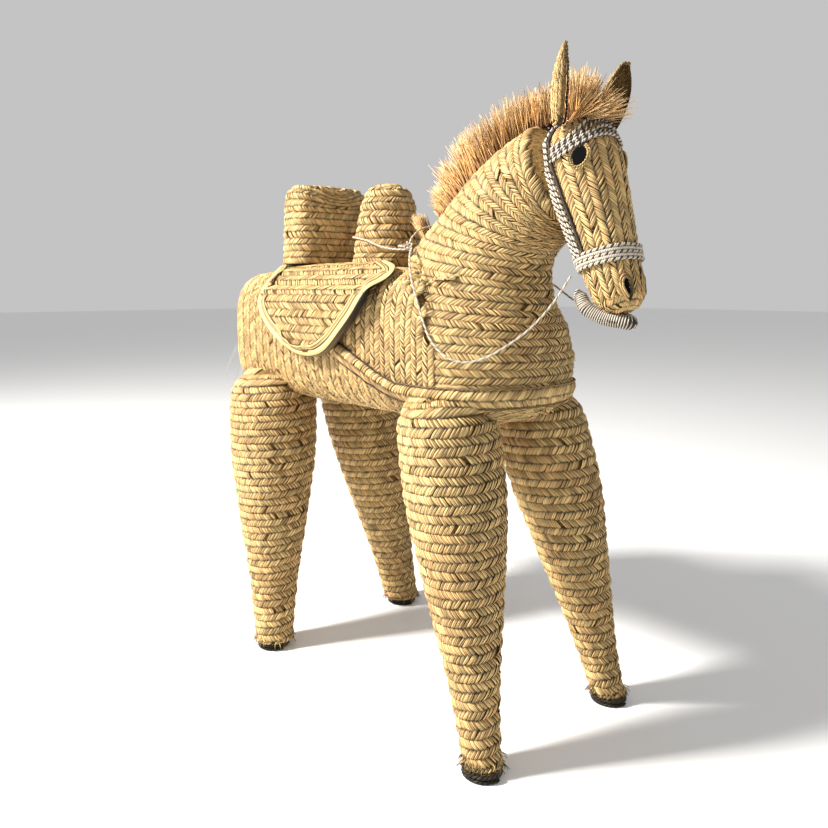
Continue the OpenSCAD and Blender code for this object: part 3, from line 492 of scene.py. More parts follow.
# A grid of points over a CAD cover, which the tapes are laid on
class Cover:
    def __init__(self, grid, closed=True):
        self.grid, self.rows, self.closed = grid, len(grid), closed
        self.settle()

    def settle(self):
        g = self.grid
        down = np.gradient(g, axis=0)
        across = np.roll(g, -1, 1) - np.roll(g, 1, 1) if self.closed else np.gradient(g, axis=1)
        self.normal = unit(np.cross(across, down))
        flip = np.nansum(self.normal * (g - np.nanmean(g, axis=(0, 1)))) < 0
        if flip:
            self.normal = -self.normal

    # Past each column's last point: straight on, or over to the target's nearest surface ahead
    def carryOn(self, step, count, target=None, ahead=0.0, sink=0.0):
        for j in range(self.grid.shape[1]):
            good = np.flatnonzero(np.isfinite(self.grid[:, j, 0]))
            if not len(good):
                continue
            last, here = good[-1], self.grid[good[-1], j].copy()
            rows = range(last + 1, min(self.rows, last + 1 + count))
            there = here + np.array(step) * count
            if target is not None:
                place, normal = target.find_nearest(Vector(here + unit(np.array(step)) * ahead))[:2]
                there = np.array(place) - np.array(normal) * sink
            for k, i in enumerate(rows, 1):
                self.grid[i, j] = here + (there - here) * k / count
        self.settle()

    # The last rows close in on one point
    def closeTo(self, point, count):
        for j in range(self.grid.shape[1]):
            good = np.flatnonzero(np.isfinite(self.grid[: self.rows - count, j, 0]))
            if len(good):
                last, here = good[-1], self.grid[good[-1], j].copy()
                for i in range(last + 1, self.rows):
                    self.grid[i, j] = here + (point - here) * min(1, (i - last) / (self.rows - 1 - last))
        self.settle()

    # Points of the cover at rows t (0 to rows-1) and turns a (0 to 1), raised by h along the normal
    def at(self, t, a, h=0.0):
        g, n = self.grid, self.normal
        columns = g.shape[1]
        t = np.clip(t, 0, self.rows - 1.001)
        x = np.mod(a, 1) * columns if self.closed else np.clip(a, 0, 1) * (columns - 1.001)
        i, j = np.floor(t).astype(int), np.floor(x).astype(int)
        f, e = (t - i)[..., None], (x - j)[..., None]
        j, k = j % columns, (j + 1) % columns

        def blend(v):
            return (v[i, j] * (1 - e) + v[i, k] * e) * (1 - f) + (v[i + 1, j] * (1 - e) + v[i + 1, k] * e) * f
        return blend(g) + blend(n) * np.asarray(h)[..., None]


# A cover from the CAD solids' outer faces. A station is (origin, e1, e2, axis, lean):
# its rays go round in the e1-e2 plane, leaning towards axis
def castCover(nodes, stations, turns=128, reach=0.6, closed=True, turn=(0, 1)):
    tree = cadMesh(*nodes)[1]
    angle = 2 * math.pi * np.linspace(turn[0], turn[1], turns, endpoint=not closed)
    grid = np.full((len(stations), turns, 3), np.nan)
    for i, (origin, e1, e2, axis, lean) in enumerate(stations):
        origin, e1, e2, axis = (np.array(v, dtype=float) for v in (origin, e1, e2, axis))
        around = np.cos(angle)[:, None] * e1 + np.sin(angle)[:, None] * e2
        rays = math.cos(lean) * around + math.sin(lean) * axis
        for j, ray in enumerate(rays):
            hit = tree.ray_cast(Vector(origin + reach * ray), Vector(-ray), reach * 0.998)
            if hit[0] is not None:
                grid[i, j] = hit[0]
    around = (np.roll(grid, 1, 1) + np.roll(grid, -1, 1)) / 2 if closed else grid
    mixed = 0.5 * grid + 0.5 * around
    return Cover(np.where(np.isfinite(mixed), mixed, grid), closed)


# How a tape is braided: stitch spacing and slant along it, and how far the stitches stand up
leg = {"spacing": 7.4 * mm, "slant": 14 * mm, "lift": 3.4 * mm, "crown": 2.6 * mm, "step": 2.0 * mm}
trunk = {"spacing": 7.6 * mm, "slant": 16 * mm, "lift": 3.4 * mm, "crown": 1.2 * mm, "step": 0.0}
nape = {"spacing": 8.0 * mm, "slant": 18 * mm, "lift": 3.6 * mm, "crown": 0.8 * mm, "step": 0.0}
block = {"spacing": 7.2 * mm, "slant": 13 * mm, "lift": 3.2 * mm, "crown": 2.2 * mm, "step": 1.2 * mm}
face = {"spacing": 8.4 * mm, "slant": 20 * mm, "lift": 3.6 * mm, "crown": 0.8 * mm, "step": 0.0}
pad = {"spacing": 6.2 * mm, "slant": 21 * mm, "lift": 2.4 * mm, "crown": 0.3 * mm, "step": 0.0}
flat = {"spacing": 7.2 * mm, "slant": 17 * mm, "lift": 2.2 * mm, "crown": 0.8 * mm, "step": 0.0}
small = {"spacing": 6.4 * mm, "slant": 9 * mm, "lift": 2.2 * mm, "crown": 0.5 * mm, "step": 0.0}


# Stitches of one tape: at() gives points for (place along, place across from -1 to 1, height)
def braidTape(bundle, at, length, style, finish=0, hand=1, drop=None, along=5, first=0.0):
    count = max(6, int(round(length / style["spacing"])))
    gap = length / count
    q = np.linspace(0, 1, along)[None, :, None]
    w = np.array([-1, -0.36, 0.36, 1])[None, None, :]
    for side in (-1, 1):
        s0 = first + (np.arange(count) + (0.5 if side > 0 else 0.0))[:, None, None] * gap
        n = len(s0)
        jitter = lambda size: np.clip(rng.normal(0, size, (n, 1, 1)), -2 * size, 2 * size)
        slant = style["slant"] * (1 + jitter(0.10))
        broad = gap * 0.53 * (1 + jitter(0.13)) * (1 - 0.3 * np.abs(2 * q - 1) ** 2)
        # the middle end passes under the far side's stitches, the outer end turns under the edge
        v = side * (1.12 + jitter(0.05) - 1.24 * q + 0 * w)
        s = s0 + hand * slant * (q ** 0.85 - 0.5) + w * broad + jitter(0.06) * gap
        arch = np.sin(math.pi * (0.05 + 0.88 * q)) ** 0.7
        lift = style["lift"] * (1 + jitter(0.22))
        h = lift * (arch - 0.6) - 0.45 * lift * (np.abs(w) > 0.9) - hand * 0.28 * lift * w
        h = h + rng.normal(0, 0.35 * mm, (n, 1, 1))
        h = h + style["crown"] * (1 - v ** 2) - style["step"] * v * 0.5 - 0.4 * style["crown"]
        points = at(s, v, h)
        lie = np.stack([s - s0 + q * slant, w * 4.5 * mm + 0 * s, 0 * s + rng.uniform(0, 90, (n, 1, 1))], -1)
        tone = np.broadcast_to(rng.uniform(0, 1, (n, 1, 1)), s.shape)
        # the tuck mark is painted shade on the ends of a stitch where they go under its neighbour
        under, start = ((q - 0.6) / 0.4).clip(0) ** 2, ((0.2 - q) / 0.2).clip(0)
        tuck = np.clip(np.maximum(under, 0.8 * start), 0, 1) + 0 * s
        stretch = np.linalg.norm(np.diff(points, axis=1), axis=-1).max(axis=(1, 2))
        keep = (rng.uniform(0, 1, n) > 0.01) & (stretch < 3.2 * (style["slant"] + 16 * mm) / along)
        if drop is not None:
            keep &= ~drop(points)
        bundle.grids(np.where(keep[:, None, None, None], points, np.nan), tone, tuck, lie, finish)


# Places along a line of a cover where tapes of about one width begin and end
def evenEdges(line, start, stop, width):
    step = np.linalg.norm(np.diff(line, axis=0), axis=1)
    run = np.concatenate([[0], np.cumsum(np.where(np.isfinite(step), step, 0))])
    count = max(1, int(round(run[-1] / width)))
    return np.interp(np.linspace(0, run[-1], count + 1), run, np.linspace(start, stop, len(line)))


# Rings of tape round a cover; spiral lets each ring climb into the next
def braidRings(bundle, cover, edges, style, hand=1, drop=None, finish=0, spiral=0.0, turn=(0, 1)):
    for low, high in zip(edges, edges[1:]):
        mid = (low + high) / 2
        a = np.linspace(turn[0], turn[1], 257)
        line = cover.at(np.full(257, mid), a)
        step = np.linalg.norm(np.diff(line, axis=0), axis=1)
        run = np.concatenate([[0], np.cumsum(np.where(np.isfinite(step), np.minimum(step, 0.02), 1e-4))])
        if run[-1] < 0.03:
            continue

        def at(s, v, h):
            place = np.mod(s, run[-1]) if turn == (0, 1) else s
            return cover.at(mid + (v + spiral * (s / run[-1] * 2 - 1)) * (high - low) / 2,
                            np.interp(place, run, a), h)
        braidTape(bundle, at, run[-1], style, finish, hand, drop)


# Tapes laid lengthwise along a cover, between turn angles
def braidColumns(bundle, cover, edges, top, bottom, style, hand=1, drop=None, finish=0):
    for low, high in zip(edges, edges[1:]):
        mid = (low + high) / 2
        t = np.linspace(top, bottom, 161)
        line = cover.at(t, np.full(161, mid))
        good = np.isfinite(line[:, 0])
        if good.sum() < 8:
            continue
        t, line = t[good], line[good]
        run = runAlong(line)

        def at(s, v, h):
            return cover.at(np.interp(s, run, t), mid + v * (high - low) / 2, h)
        braidTape(bundle, at, run[-1], style, finish, hand, drop)


# The dark layer under the stitches, painted shade seen through the gaps between them, in small patches so that
# a missing one leaves no hole beside it
def underLayer(bundle, cover, depth, finish=1, drop=None, stride=2, turn=(0, 1)):
    rows = np.linspace(0, cover.rows - 1, (cover.rows - 1) // stride + 1)
    a = np.linspace(turn[0], turn[1], cover.grid.shape[1] // stride + 1)
    t, a = np.meshgrid(rows, a, indexing="ij")
    points = cover.at(t, a, np.full(t.shape, -depth))
    corners = [points[:-1, :-1], points[:-1, 1:], points[1:, :-1], points[1:, 1:]]
    patch = np.stack(corners, 2).reshape(-1, 2, 2, 3)
    span = np.linalg.norm(patch[:, 0, 0] - patch[:, 1, 1], axis=-1)
    patch[span > 0.06] = np.nan
    if drop is not None:
        patch = np.where(drop(patch)[:, None, None, None], np.nan, patch)
    zero = np.zeros(patch.shape[:3])
    bundle.grids(patch, zero + 0.5, zero, patch, finish)


# Loose ends that stand out of a cover: short curved hairs at random places
def strayFibres(bundle, cover, count, reach, rows=None, finish=0, drop=None):
    low, high = rows or (1, cover.rows - 2)
    for _ in range(count):
        t, a = rng.uniform(low, high), rng.uniform(0, 1)
        t2, a2 = t + rng.normal(0, 1.2), a + rng.normal(0, 0.012)
        line = np.array([cover.at(np.array(t + (t2 - t) * k / 3), np.array(a + (a2 - a) * k / 3),
                                  reach * (k / 3) ** 1.5) for k in range(4)])
        if np.isfinite(line).all() and not (drop and drop(line[None, :, None])[0]):
            tube(bundle, line, np.array([0.55, 0.5, 0.4, 0.12]) * mm, 3, rng.uniform(0, 1), finish)


barrelLow, barrelHigh = nodeBox("barrel_cover")
trunkZ = (barrelLow[2] + barrelHigh[2]) / 2
tape = 31 * mm
seam = {"foot": barrelHigh[0] + 1.2 * mm, "bend": 2.5, "above": trunkZ - 59 * mm}


# Where barrel and neck meet, at one height
def seamX(z):
    return seam["foot"] - seam["bend"] * np.maximum(0, z - seam["above"]) ** 2


def makeBarrel():
    up, right, back = (0, 0, 1), (0, -1, 0), (-1, 0, 0)
    start = barrelLow[0] + 0.11
    stations = [((start, 0, trunkZ), up, right, back, math.radians(a)) for a in np.linspace(88, 0, 46)]
    ends = np.arange(start + 5 * mm, seam["foot"] + 16 * mm, 5 * mm)
    stations += [((x, 0, trunkZ), up, right, back, 0) for x in ends]
    cover = castCover(["barrel_cover"], stations, 160, 0.26)
    cover.carryOn((5 * mm, 0, 0), 40)
    bundle = Bundle()
    line = cover.at(np.linspace(2, cover.rows - 1, 300), np.full(300, 0.25))
    edges = evenEdges(line, 2, cover.rows - 1, tape)

    def hidden(points):
        x, z = points[..., 0].reshape(len(points), -1), points[..., 2].reshape(len(points), -1)
        past = (x - seamX(z)).min(1)
        return (past > 3 * mm) & ((z.mean(1) < barrelHigh[2] - 26 * mm) | (past > 110 * mm))
    # past the seam the under layer slopes inwards, so that the seam is closed
    past = np.clip(cover.grid[..., 0] - seamX(cover.grid[..., 2]) - 4 * mm, 0, 60 * mm)
    lining = Cover(cover.grid - cover.normal * 0.9 * past[..., None])
    underLayer(bundle, lining, 3.5 * mm, 1,
               lambda p: (p[..., 0] - seamX(p[..., 2])).reshape(len(p), -1).min(1) > 60 * mm)
    braidRings(bundle, cover, edges, trunk, 1, hidden)
    strayFibres(bundle, cover, 260, 5 * mm, drop=hidden)
    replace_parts(bundle.build("barrel_weave", ["straw", "gap"]), "barrel_cover")


# The line the neck's rings are strung on: X and Z from the middle of the stance, and their tilt in degrees
neckLine = [(0.225, 0.640, 0), (0.225, 0.700, 2), (0.215, 0.780, 6), (0.197, 0.850, 10), (0.192, 0.900, 15),
            (0.205, 0.940, 25), (0.235, 0.970, 38), (0.270, 1.000, 55), (0.297, 1.012, 68), (0.330, 1.020, 76)]


def makeNeck():
    keys = np.array([(x + stance[0], z, a) for x, z, a in neckLine])
    fine = np.linspace(0, len(keys) - 1, 130)
    x, z, tilt = (np.interp(fine, np.arange(len(keys)), keys[:, k]) for k in range(3))
    box = np.ones(13) / 13
    widened = [np.pad(v, 6, mode="reflect", reflect_type="odd") for v in (x, z, tilt)]
    x, z, tilt = (np.convolve(v, box, "valid") for v in widened)
    foot = ((x[0], 0, z[0]), (1, 0, 0), (0, -1, 0), (0, 0, -1))
    stations = [(*foot, math.radians(a)) for a in np.linspace(86, 4, 30)]
    for px, pz, a in zip(x, z, np.radians(tilt)):
        stations.append(((px, 0, pz), (math.cos(a), 0, -math.sin(a)), (0, -1, 0), (0, 0, -1), 0))
    cover = castCover(["neck_cover"], stations, 160, 0.3)
    head = cadMesh("head_cover")[1]
    cover.carryOn((0.86 * mm, 0, 0.5 * mm), 6, head, 24 * mm, 3 * mm)
    # above the seam the neck's rear comes down onto the back
    for j in range(cover.grid.shape[1]):
        column = cover.grid[:, j]
        atBack = np.abs(column[1:, 2] - barrelHigh[2]) < 30 * mm
        jump = np.flatnonzero((np.diff(column[:, 0]) < -15 * mm) & atBack)
        for k in range(8 if len(jump) else 0):
            column[jump[0] - k] = column[jump[0] + 1] - np.array([0, 0, 3 * mm * (k + 1)])
    cover.settle()
    bundle = Bundle()
    line = cover.at(np.linspace(1, cover.rows - 1.2, 300), np.full(300, 0.3))
    edges = evenEdges(line, 1, cover.rows - 1.2, tape * 0.93)

    def hidden(points):
        x, z = points[..., 0].reshape(len(points), -1), points[..., 2].reshape(len(points), -1)
        return ((x - seamX(z)).max(1) < 6 * mm) & (z.mean(1) < barrelHigh[2] - 6 * mm)
    underLayer(bundle, cover, 3.5 * mm, 1)
    braidRings(bundle, cover, edges, nape, -1, hidden)
    strayFibres(bundle, cover, 160, 5 * mm, drop=hidden)
    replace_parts(bundle.build("neck_weave", ["straw", "gap"]), "neck_cover")


makeBarrel()
makeNeck()
print("trunk and neck woven")


trunkTree = cadMesh("barrel_cover", "neck_cover")[1]


def intoTrunk(points, gap):
    out = np.zeros(len(points), dtype=bool)
    for k, piece in enumerate(points.reshape(len(points), -1, 3)):
        if piece[:, 2].max() > barrelLow[2] - 20 * mm and np.isfinite(piece).all():
            inside = 0
            for p in piece[::4]:
                place, normal, _, away = trunkTree.find_nearest(Vector(p))
                inside += away < gap or (Vector(p) - place).dot(normal) < 0
            out[k] = inside > 0.6 * len(piece[::4])
    return out


hem = {"ends": 110, "low": 2, "high": 16}


def makeLeg(name):
    node = "leg_cover_" + name
    points, _ = cadMesh(node)
    low = points[points[:, 2] < barrelLow[2] - 0.03]
    xLine, yLine = np.polyfit(low[:, 2], low[:, 0], 1), np.polyfit(low[:, 2], low[:, 1], 1)
    shoulder, step = 9, 4.2 * mm
    heights = np.arange(points[:, 2].min() + 1 * mm, points[:, 2].max() - 0.5 * mm, 5 * mm)
    heights = np.concatenate([heights, heights[-1] + step * np.arange(1, shoulder + 1)])
    place = lambda z: (np.polyval(xLine, z), np.polyval(yLine, z), z)
    # counted anticlockwise, seen from above
    stations = [(place(z), (0, -1, 0), (1, 0, 0), (0, 0, 1), 0) for z in heights]
    cover = castCover([node], stations, 96, 0.15)
    cover.carryOn((0, 0, step), shoulder, trunkTree, 26 * mm, 4 * mm)
    bundle = Bundle()
    rings = 20
    hidden = lambda p: intoTrunk(p, 1.5 * mm)
    underLayer(bundle, cover, 3.5 * mm, 1, hidden)
    braidRings(bundle, cover, np.linspace(0.3, cover.rows - 1, rings + 1), leg, 1, hidden, spiral=1.0)
    strayFibres(bundle, cover, 60, 4 * mm, (1, cover.rows - 14))
    # ragged ends of the straw stand out round the hem
    centre = np.array(place(16 * mm))
    reach = np.nanmean(np.linalg.norm(cover.grid[1, :, :2] - centre[:2], axis=1))
    for _ in range(hem["ends"]):
        a = rng.uniform(0, 2 * math.pi)
        out = np.array([math.cos(a), math.sin(a), 0])
        start = centre + out * reach * rng.uniform(0.9, 1.02)
        start[2] += rng.uniform(hem["low"], hem["high"]) * mm
        end = start + out * rng.uniform(0, 5) * mm + np.array([rng.normal(0, 4), rng.normal(0, 4), 0]) * mm
        end[2] = max(1.6 * mm, start[2] - rng.uniform(6, 16) * mm)
        bend = np.array([0, 0.6, 1.0, 0.9])[:, None] * out * rng.uniform(0, 2.5) * mm
        thick = np.array([0.9, 0.9, 0.8, 0.4]) * mm
        tube(bundle, np.linspace(start, end, 4) + bend, thick, 4, rng.uniform(0, 1))
    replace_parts(bundle.build("leg_weave_" + name, ["straw", "gap"]), node)


sole = {"cord": 4.0 * mm, "lay": 24 * mm, "coils": 5}


# The woven soles: two layers of straw coil, wound from the middle outwards
def makeSole(name):
    low, high = nodeBox("sole_" + name)
    centre, radius = (low + high) / 2, (high[0] - low[0]) / 2
    bundle = Bundle()
    for level in (low[2] + 4.1 * mm, high[2] - 4.1 * mm):
        angle = np.linspace(0, 2 * math.pi * sole["coils"], 220)
        r = np.linspace(3 * mm, radius - 4.3 * mm, 220)
        x, y = centre[0] + r * np.cos(angle), centre[1] + r * np.sin(angle)
        line = np.stack([x, y, np.full(220, level)], 1)
        twistedCord(bundle, line, sole["cord"], sole["lay"], (0, 0, 0), 5)
    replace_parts(bundle.build("sole_weave_" + name, ["straw"], slot="straw_sole"), "sole_" + name)


legNames = ("front_right", "front_left", "rear_right", "rear_left")
for legName in legNames:
    makeLeg(legName)
    makeSole(legName)
print("legs and soles woven")


headLean = math.radians(20)
headTop = np.array([0.335 + stance[0], 0, barrelHigh[2] + 0.219])
headLength = 0.330
faceOut = np.array([math.cos(headLean), 0, math.sin(headLean)])
headDown = np.array([math.sin(headLean), 0, -math.cos(headLean)])


def onHead(t, out):
    return headTop + headDown * t * headLength + faceOut * out


def makeHeadCover():
    mid = lambda t: onHead(t, 6 * mm - 2 * mm * t)
    stations = [(mid(0.12), faceOut, (0, -1, 0), headDown, math.radians(a)) for a in np.linspace(-86, 0, 18)]
    stations += [(mid(t), faceOut, (0, -1, 0), headDown, 0) for t in np.linspace(0.125, 0.88, 76)]
    stations += [(mid(0.885), faceOut, (0, -1, 0), headDown, math.radians(a)) for a in np.linspace(4, 88, 20)]
    return castCover(["head_cover"], stations, 128, 0.2)


headCover = makeHeadCover()
headSpans = ((0.0, 0.12, 18), (0.125, 0.88, 76), (0.89, 0.98, 20))
headRows = np.concatenate([np.linspace(*span) for span in headSpans])


# Points on the head: t down it from 0 to 1, a degrees round from the middle of the face (right side positive)
def headPoint(t, a, out=0.0):
    row = np.interp(t, headRows, np.arange(len(headRows)))
    return headCover.at(row, np.asarray(a) / 360, out)


nostril = {"t": 0.865, "angle": 34, "wide": 7 * mm, "high": 12 * mm, "strand": 2.2 * mm}


# Points about a nostril: down and across in its own half heights and half widths, raised by h
def nostrilPoint(side, down, across, h):
    a = side * nostril["angle"] + np.degrees(nostril["wide"] * across / 0.043)
    return headPoint(nostril["t"] + nostril["high"] * down / headLength, a, h)


def makeHead():
    bundle = Bundle()
    line = headCover.at(np.full(400, 40.0), np.linspace(0, 1, 400))
    count = 12
    run = runAlong(line)
    edges = np.interp(np.arange(count + 1) / count * run[-1], run, np.linspace(0, 1, 400))
    holes = [headPoint(np.array(nostril["t"]), np.array(side * nostril["angle"])) for side in (1, -1)]

    def atHole(points):
        mid = points.reshape(len(points), -1, 3).mean(1)
        return np.any([np.linalg.norm(mid - hole, axis=1) < 8 * mm for hole in holes], axis=0)
    underLayer(bundle, headCover, 3.0 * mm, 1)
    braidColumns(bundle, headCover, edges, 2, 96, face, 1, atHole)
    low = headCover.at(np.linspace(95, headCover.rows - 1.5, 60), np.full(60, 0.0))
    braidRings(bundle, headCover, evenEdges(low, 95, headCover.rows - 1.5, 24 * mm), small, 1, atHole)
    # two strands are laid round each nostril, and it is dark between them; the near-black patch in the hollow
    # is painted shade in the nostril
    for side in (1, -1):
        a = np.linspace(0, 2 * math.pi, 22)
        for high, wide, lift, tone in ((1, 1, 2.4, 0.35), (1.35, 1.5, 0.8, 0.8)):
            ring = nostrilPoint(side, high * np.cos(a), wide * np.sin(a), lift * mm)
            tube(bundle, ring, nostril["strand"], 6, tone)
        k, w = np.meshgrid(np.linspace(-1, 1, 9), np.linspace(-1, 1, 5), indexing="ij")
        hollow = nostrilPoint(side, k, w * np.sqrt(1 - 0.96 * k ** 2), 0.6 * mm)[None]
        bundle.grids(hollow, np.zeros(hollow.shape[:3]), np.zeros(hollow.shape[:3]), hollow, 2)
    strayFibres(bundle, headCover, 60, 4 * mm, (16, 95))
    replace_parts(bundle.build("head_weave", ["straw", "gap", "eye"]), "head_cover")


makeHead()


ear = {"cord": 1.9 * mm, "lay": 12 * mm, "tapes": 7}


def makeEars():
    for name in ("ear_right", "ear_left"):
        points, _ = cadMesh(name)
        centre = points.mean(0)
        axes = np.linalg.svd(points - centre, full_matrices=False)[2]
        up = axes[0] * np.sign(axes[0][2])
        e1 = unit(np.cross(up, (0, 1, 0)))
        e2 = np.cross(e1, up)
        place = (points - centre) @ up
        stations = []
        for h in np.linspace(place.min() + 1 * mm, place.max() - 1.5 * mm, 40):
            near = points[np.abs(place - h) < 10 * mm]
            offset = (near.min(0) + near.max(0)) / 2 - centre
            middle = centre + up * h + e1 * (offset @ e1) + e2 * (offset @ e2)
            stations.append((middle, e1, e2, up, 0))
        stations += [(middle - up * 2 * mm, e1, e2, up, math.radians(a)) for a in (15, 35, 55, 75)]
        cover = castCover([name], stations, 72, 0.06)
        cover.closeTo(points[np.argmax(place)] + up * 1.5 * mm, 4)
        bundle = Bundle()
        underLayer(bundle, cover, 0.8 * mm, 1)
        line = cover.at(np.full(200, 16.0), np.linspace(0, 1, 200))
        run = np.concatenate([[0], np.cumsum(np.nan_to_num(np.linalg.norm(np.diff(line, axis=0), axis=1)))])
        edges = np.interp(np.linspace(0, run[-1], ear["tapes"] + 1), run, np.linspace(0, 1, 200))
        braidColumns(bundle, cover, edges, 0.5, cover.rows - 1.5, small, 1)
        # a twisted strand runs up one edge of the ear and down the other
        rows = cover.grid[1:40:2]
        rows = rows[np.isfinite(rows[..., 0]).sum(1) > 20]
        near, far = (rows[np.arange(len(rows)), furthest(rows @ e2, axis=1)]
                     for furthest in (np.nanargmin, np.nanargmax))
        rim = smoothLine(np.concatenate([near, points[np.argmax(place)][None], far[::-1]]), 1.5 * mm)
        twistedCord(bundle, rim, ear["cord"], ear["lay"], (0, 0), 5)
        piece = bundle.build(name.replace("ear", "ear_weave"), ["straw", "gap"])
        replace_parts(piece, name)


makeEars()


eyeRim = {"cord": 1.9 * mm, "lay": 9 * mm}


def makeEyes():
    bundle = Bundle()
    for name, side in (("eye_right", 1), ("eye_left", -1)):
        finishNode(name, "eye")
        points, _ = cadMesh(name)
        centre = (points.max(0) + points.min(0)) / 2
        axes = np.linalg.svd(points - points.mean(0), full_matrices=False)[2]
        spread = np.abs((points - centre) @ axes.T).max(0)
        out = axes[2] * np.sign(np.dot(axes[2], faceOut * 0.5 + np.array([0, -side, 0])))
        a = np.linspace(0, 2 * math.pi, 60)
        for extra, lift in ((2.6 * mm, 0.4 * mm), (5.6 * mm, -0.8 * mm)):
            line = centre + np.cos(a)[:, None] * axes[0] * (spread[0] + extra) \
                + np.sin(a)[:, None] * axes[1] * (spread[1] + extra) + out * lift
            twistedCord(bundle, line, eyeRim["cord"], eyeRim["lay"], (0, 0), 5)
    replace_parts(bundle.build("eye_cords", ["edging"], slot="bridle_cord"), "eye_rims")


# Plies of each cord, side by side: 0 is white and 1 is black
bridle = {"brow": 0.155, "browLift": 0.05, "nose": 0.695, "noseDip": 0.016, "cord": 2.7 * mm,
          "browPlies": ((0, 0, 1), (1, 0, 1), (0, 1, 0), (1, 1, 0), (0, 0, 1)),
          "nosePlies": ((0, 0, 1), (0, 0, 0), (0, 1, 0), (0, 0, 0), (0, 0, 1)),
          "cheekPlies": ((1, 1, 1), (0, 1, 0), (0, 0, 1), (0, 1, 0), (0, 0, 1))}


def bridleCord(bundle, line, radius, finishes, pitch=11 * mm):
    line = line[np.isfinite(line).all(axis=1)]
    twistedCord(bundle, line, radius, pitch, finishes, 5)


def makeBridle():
    a = np.linspace(-106, 106, 90)
    brow = Bundle()
    rise = bridle["browLift"] * np.maximum(0, np.cos(np.radians(a))) ** 2
    for k, plies in enumerate(bridle["browPlies"]):
        t = bridle["brow"] + (k - 2) * 4.9 * mm / headLength - rise
        bridleCord(brow, headPoint(t, a, 5.2 * mm), bridle["cord"], plies)
    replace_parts(brow.build("brow_cords", ["whiteCord", "blackCord"], slot="bridle_cord"), "browband")
    a = np.linspace(0, 360, 140)
    nose = Bundle()
    for k, plies in enumerate(bridle["nosePlies"]):
        t = bridle["nose"] + (k - 2) * 5.3 * mm / headLength + bridle["noseDip"] * np.cos(np.radians(a))
        bridleCord(nose, headPoint(t, a, 5.4 * mm), bridle["cord"] * 1.05, plies)
    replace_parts(nose.build("nose_cords", ["whiteCord", "blackCord"], slot="bridle_cord"), "noseband")
    cheek = Bundle()
    t = np.linspace(0.035, 0.655, 60)
    for side in (1, -1):
        for k, plies in enumerate(bridle["cheekPlies"]):
            a = 120 - 6 * (t - 0.05) / 0.6 + (k - 2) * 5.8
            bridleCord(cheek, headPoint(t, side * a, (6.2 if k else 3.4) * mm), bridle["cord"] * 0.9, plies)
    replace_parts(cheek.build("cheek_cords", ["whiteCord", "blackCord"], slot="bridle_cord"), "cheek_straps")


lip = {"radius": 12.5 * mm, "turns": 62, "cords": (1.15 * mm, 0.8 * mm)}


def makeLip():
    points, _ = cadMesh("lip_roll")
    line = []
    for t in (0.80, 0.83, 0.86, 0.89, 0.92):
        near = points[(np.abs((points - headTop) @ headDown / headLength - t) < 0.012) & (points[:, 1] < 0)]
        line.append((near.min(0) + near.max(0)) / 2)
    for y in (-22 * mm, -11 * mm):
        near = points[np.abs(points[:, 1] - y) < 5 * mm]
        near = near[(near - headTop) @ headDown > 0.9 * headLength]
        line.append((near.min(0) + near.max(0)) / 2 * np.array([1, 0, 1]) + np.array([0, y, 0]))
    end = line[-1] + (line[-1] - line[-2]) * np.array([0.4, 1, 0.4])
    line = np.array(line + [end * np.array([1, 0, 1])])
    line = smoothLine(np.concatenate([line, line[::-1][1:] * np.array([1, -1, 1])]), 1.0 * mm)
    bundle = Bundle()
    taper = np.clip(np.minimum(np.linspace(0, 12, len(line)), np.linspace(12, 0, len(line))) + 0.35, 0, 1)
    tube(bundle, line, (lip["radius"] - 1.9 * mm) * taper, 10, 0.3, 1)
    along, side, over = lineFrame(line, faceOut)
    # two cords are wound side by side, one pale and one dark
    for k, thick in enumerate(lip["cords"]):
        fine = np.linspace(0, 1, lip["turns"] * 10)
        angle = 2 * math.pi * lip["turns"] * (fine + k / 2 / lip["turns"])
        pick = lambda v: np.stack([np.interp(fine, np.linspace(0, 1, len(v)), v[:, c]) for c in range(3)], 1)
        reach = (lip["radius"] - 1.5 * mm) * np.interp(fine, np.linspace(0, 1, len(line)), taper)
        out = np.cos(angle)[:, None] * pick(side) + np.sin(angle)[:, None] * pick(over)
        tube(bundle, pick(line) + reach[:, None] * out, thick, 5, rng.uniform(0, 1), k)
    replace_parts(bundle.build("lip_cords", ["whiteCord", "blackCord"], slot="bridle_cord"), "lip_roll")


makeEyes()
makeBridle()
makeLip()
print("head, ears and bridle made")


saddle = {"edging": 13 * mm, "rimStrand": 3.0 * mm}


def makeSaddleSide(side):
    name = "right" if side > 0 else "left"
    low, high = nodeBox("saddle_pad")
    right = (0, -side, 0)
    xs = np.arange(low[0] - 2 * mm, high[0] + 3 * mm, 4 * mm)
    stations = [((x, 0, trunkZ), (0, 0, 1), right, (1, 0, 0), 0) for x in xs]
    cover = castCover(["saddle_pad", "flap_" + name], stations, 110, 0.4, closed=False, turn=(0, 0.2815))
    pad = nodeBox("saddle_pad")[0][2]
    for row in cover.grid:   # the bend between pad and flap is one smooth turn
        good = np.flatnonzero(np.isfinite(row[:, 0]))
        above = good[row[good, 2] > pad + 12 * mm]
        below = good[(row[good, 2] < pad - 8 * mm) & (np.abs(row[good, 1]) > 0.18)]
        if len(above) and len(below):
            a, b = above[-1], below[0]
            k = np.linspace(0, 1, b - a + 1)[:, None]
            row[a:b + 1] = row[a] + (row[b] - row[a]) * k
            row[a:b + 1, 1] -= side * 5 * mm * np.sin(math.pi * k[:, 0])
    cover.settle()
    return cover, xs


# Each row moves towards its neighbours, several times over
def easeOut(rows, times):
    for _ in range(times):
        rows[1:-1] = (rows[:-2] + rows[1:-1] * 2 + rows[2:]) / 4


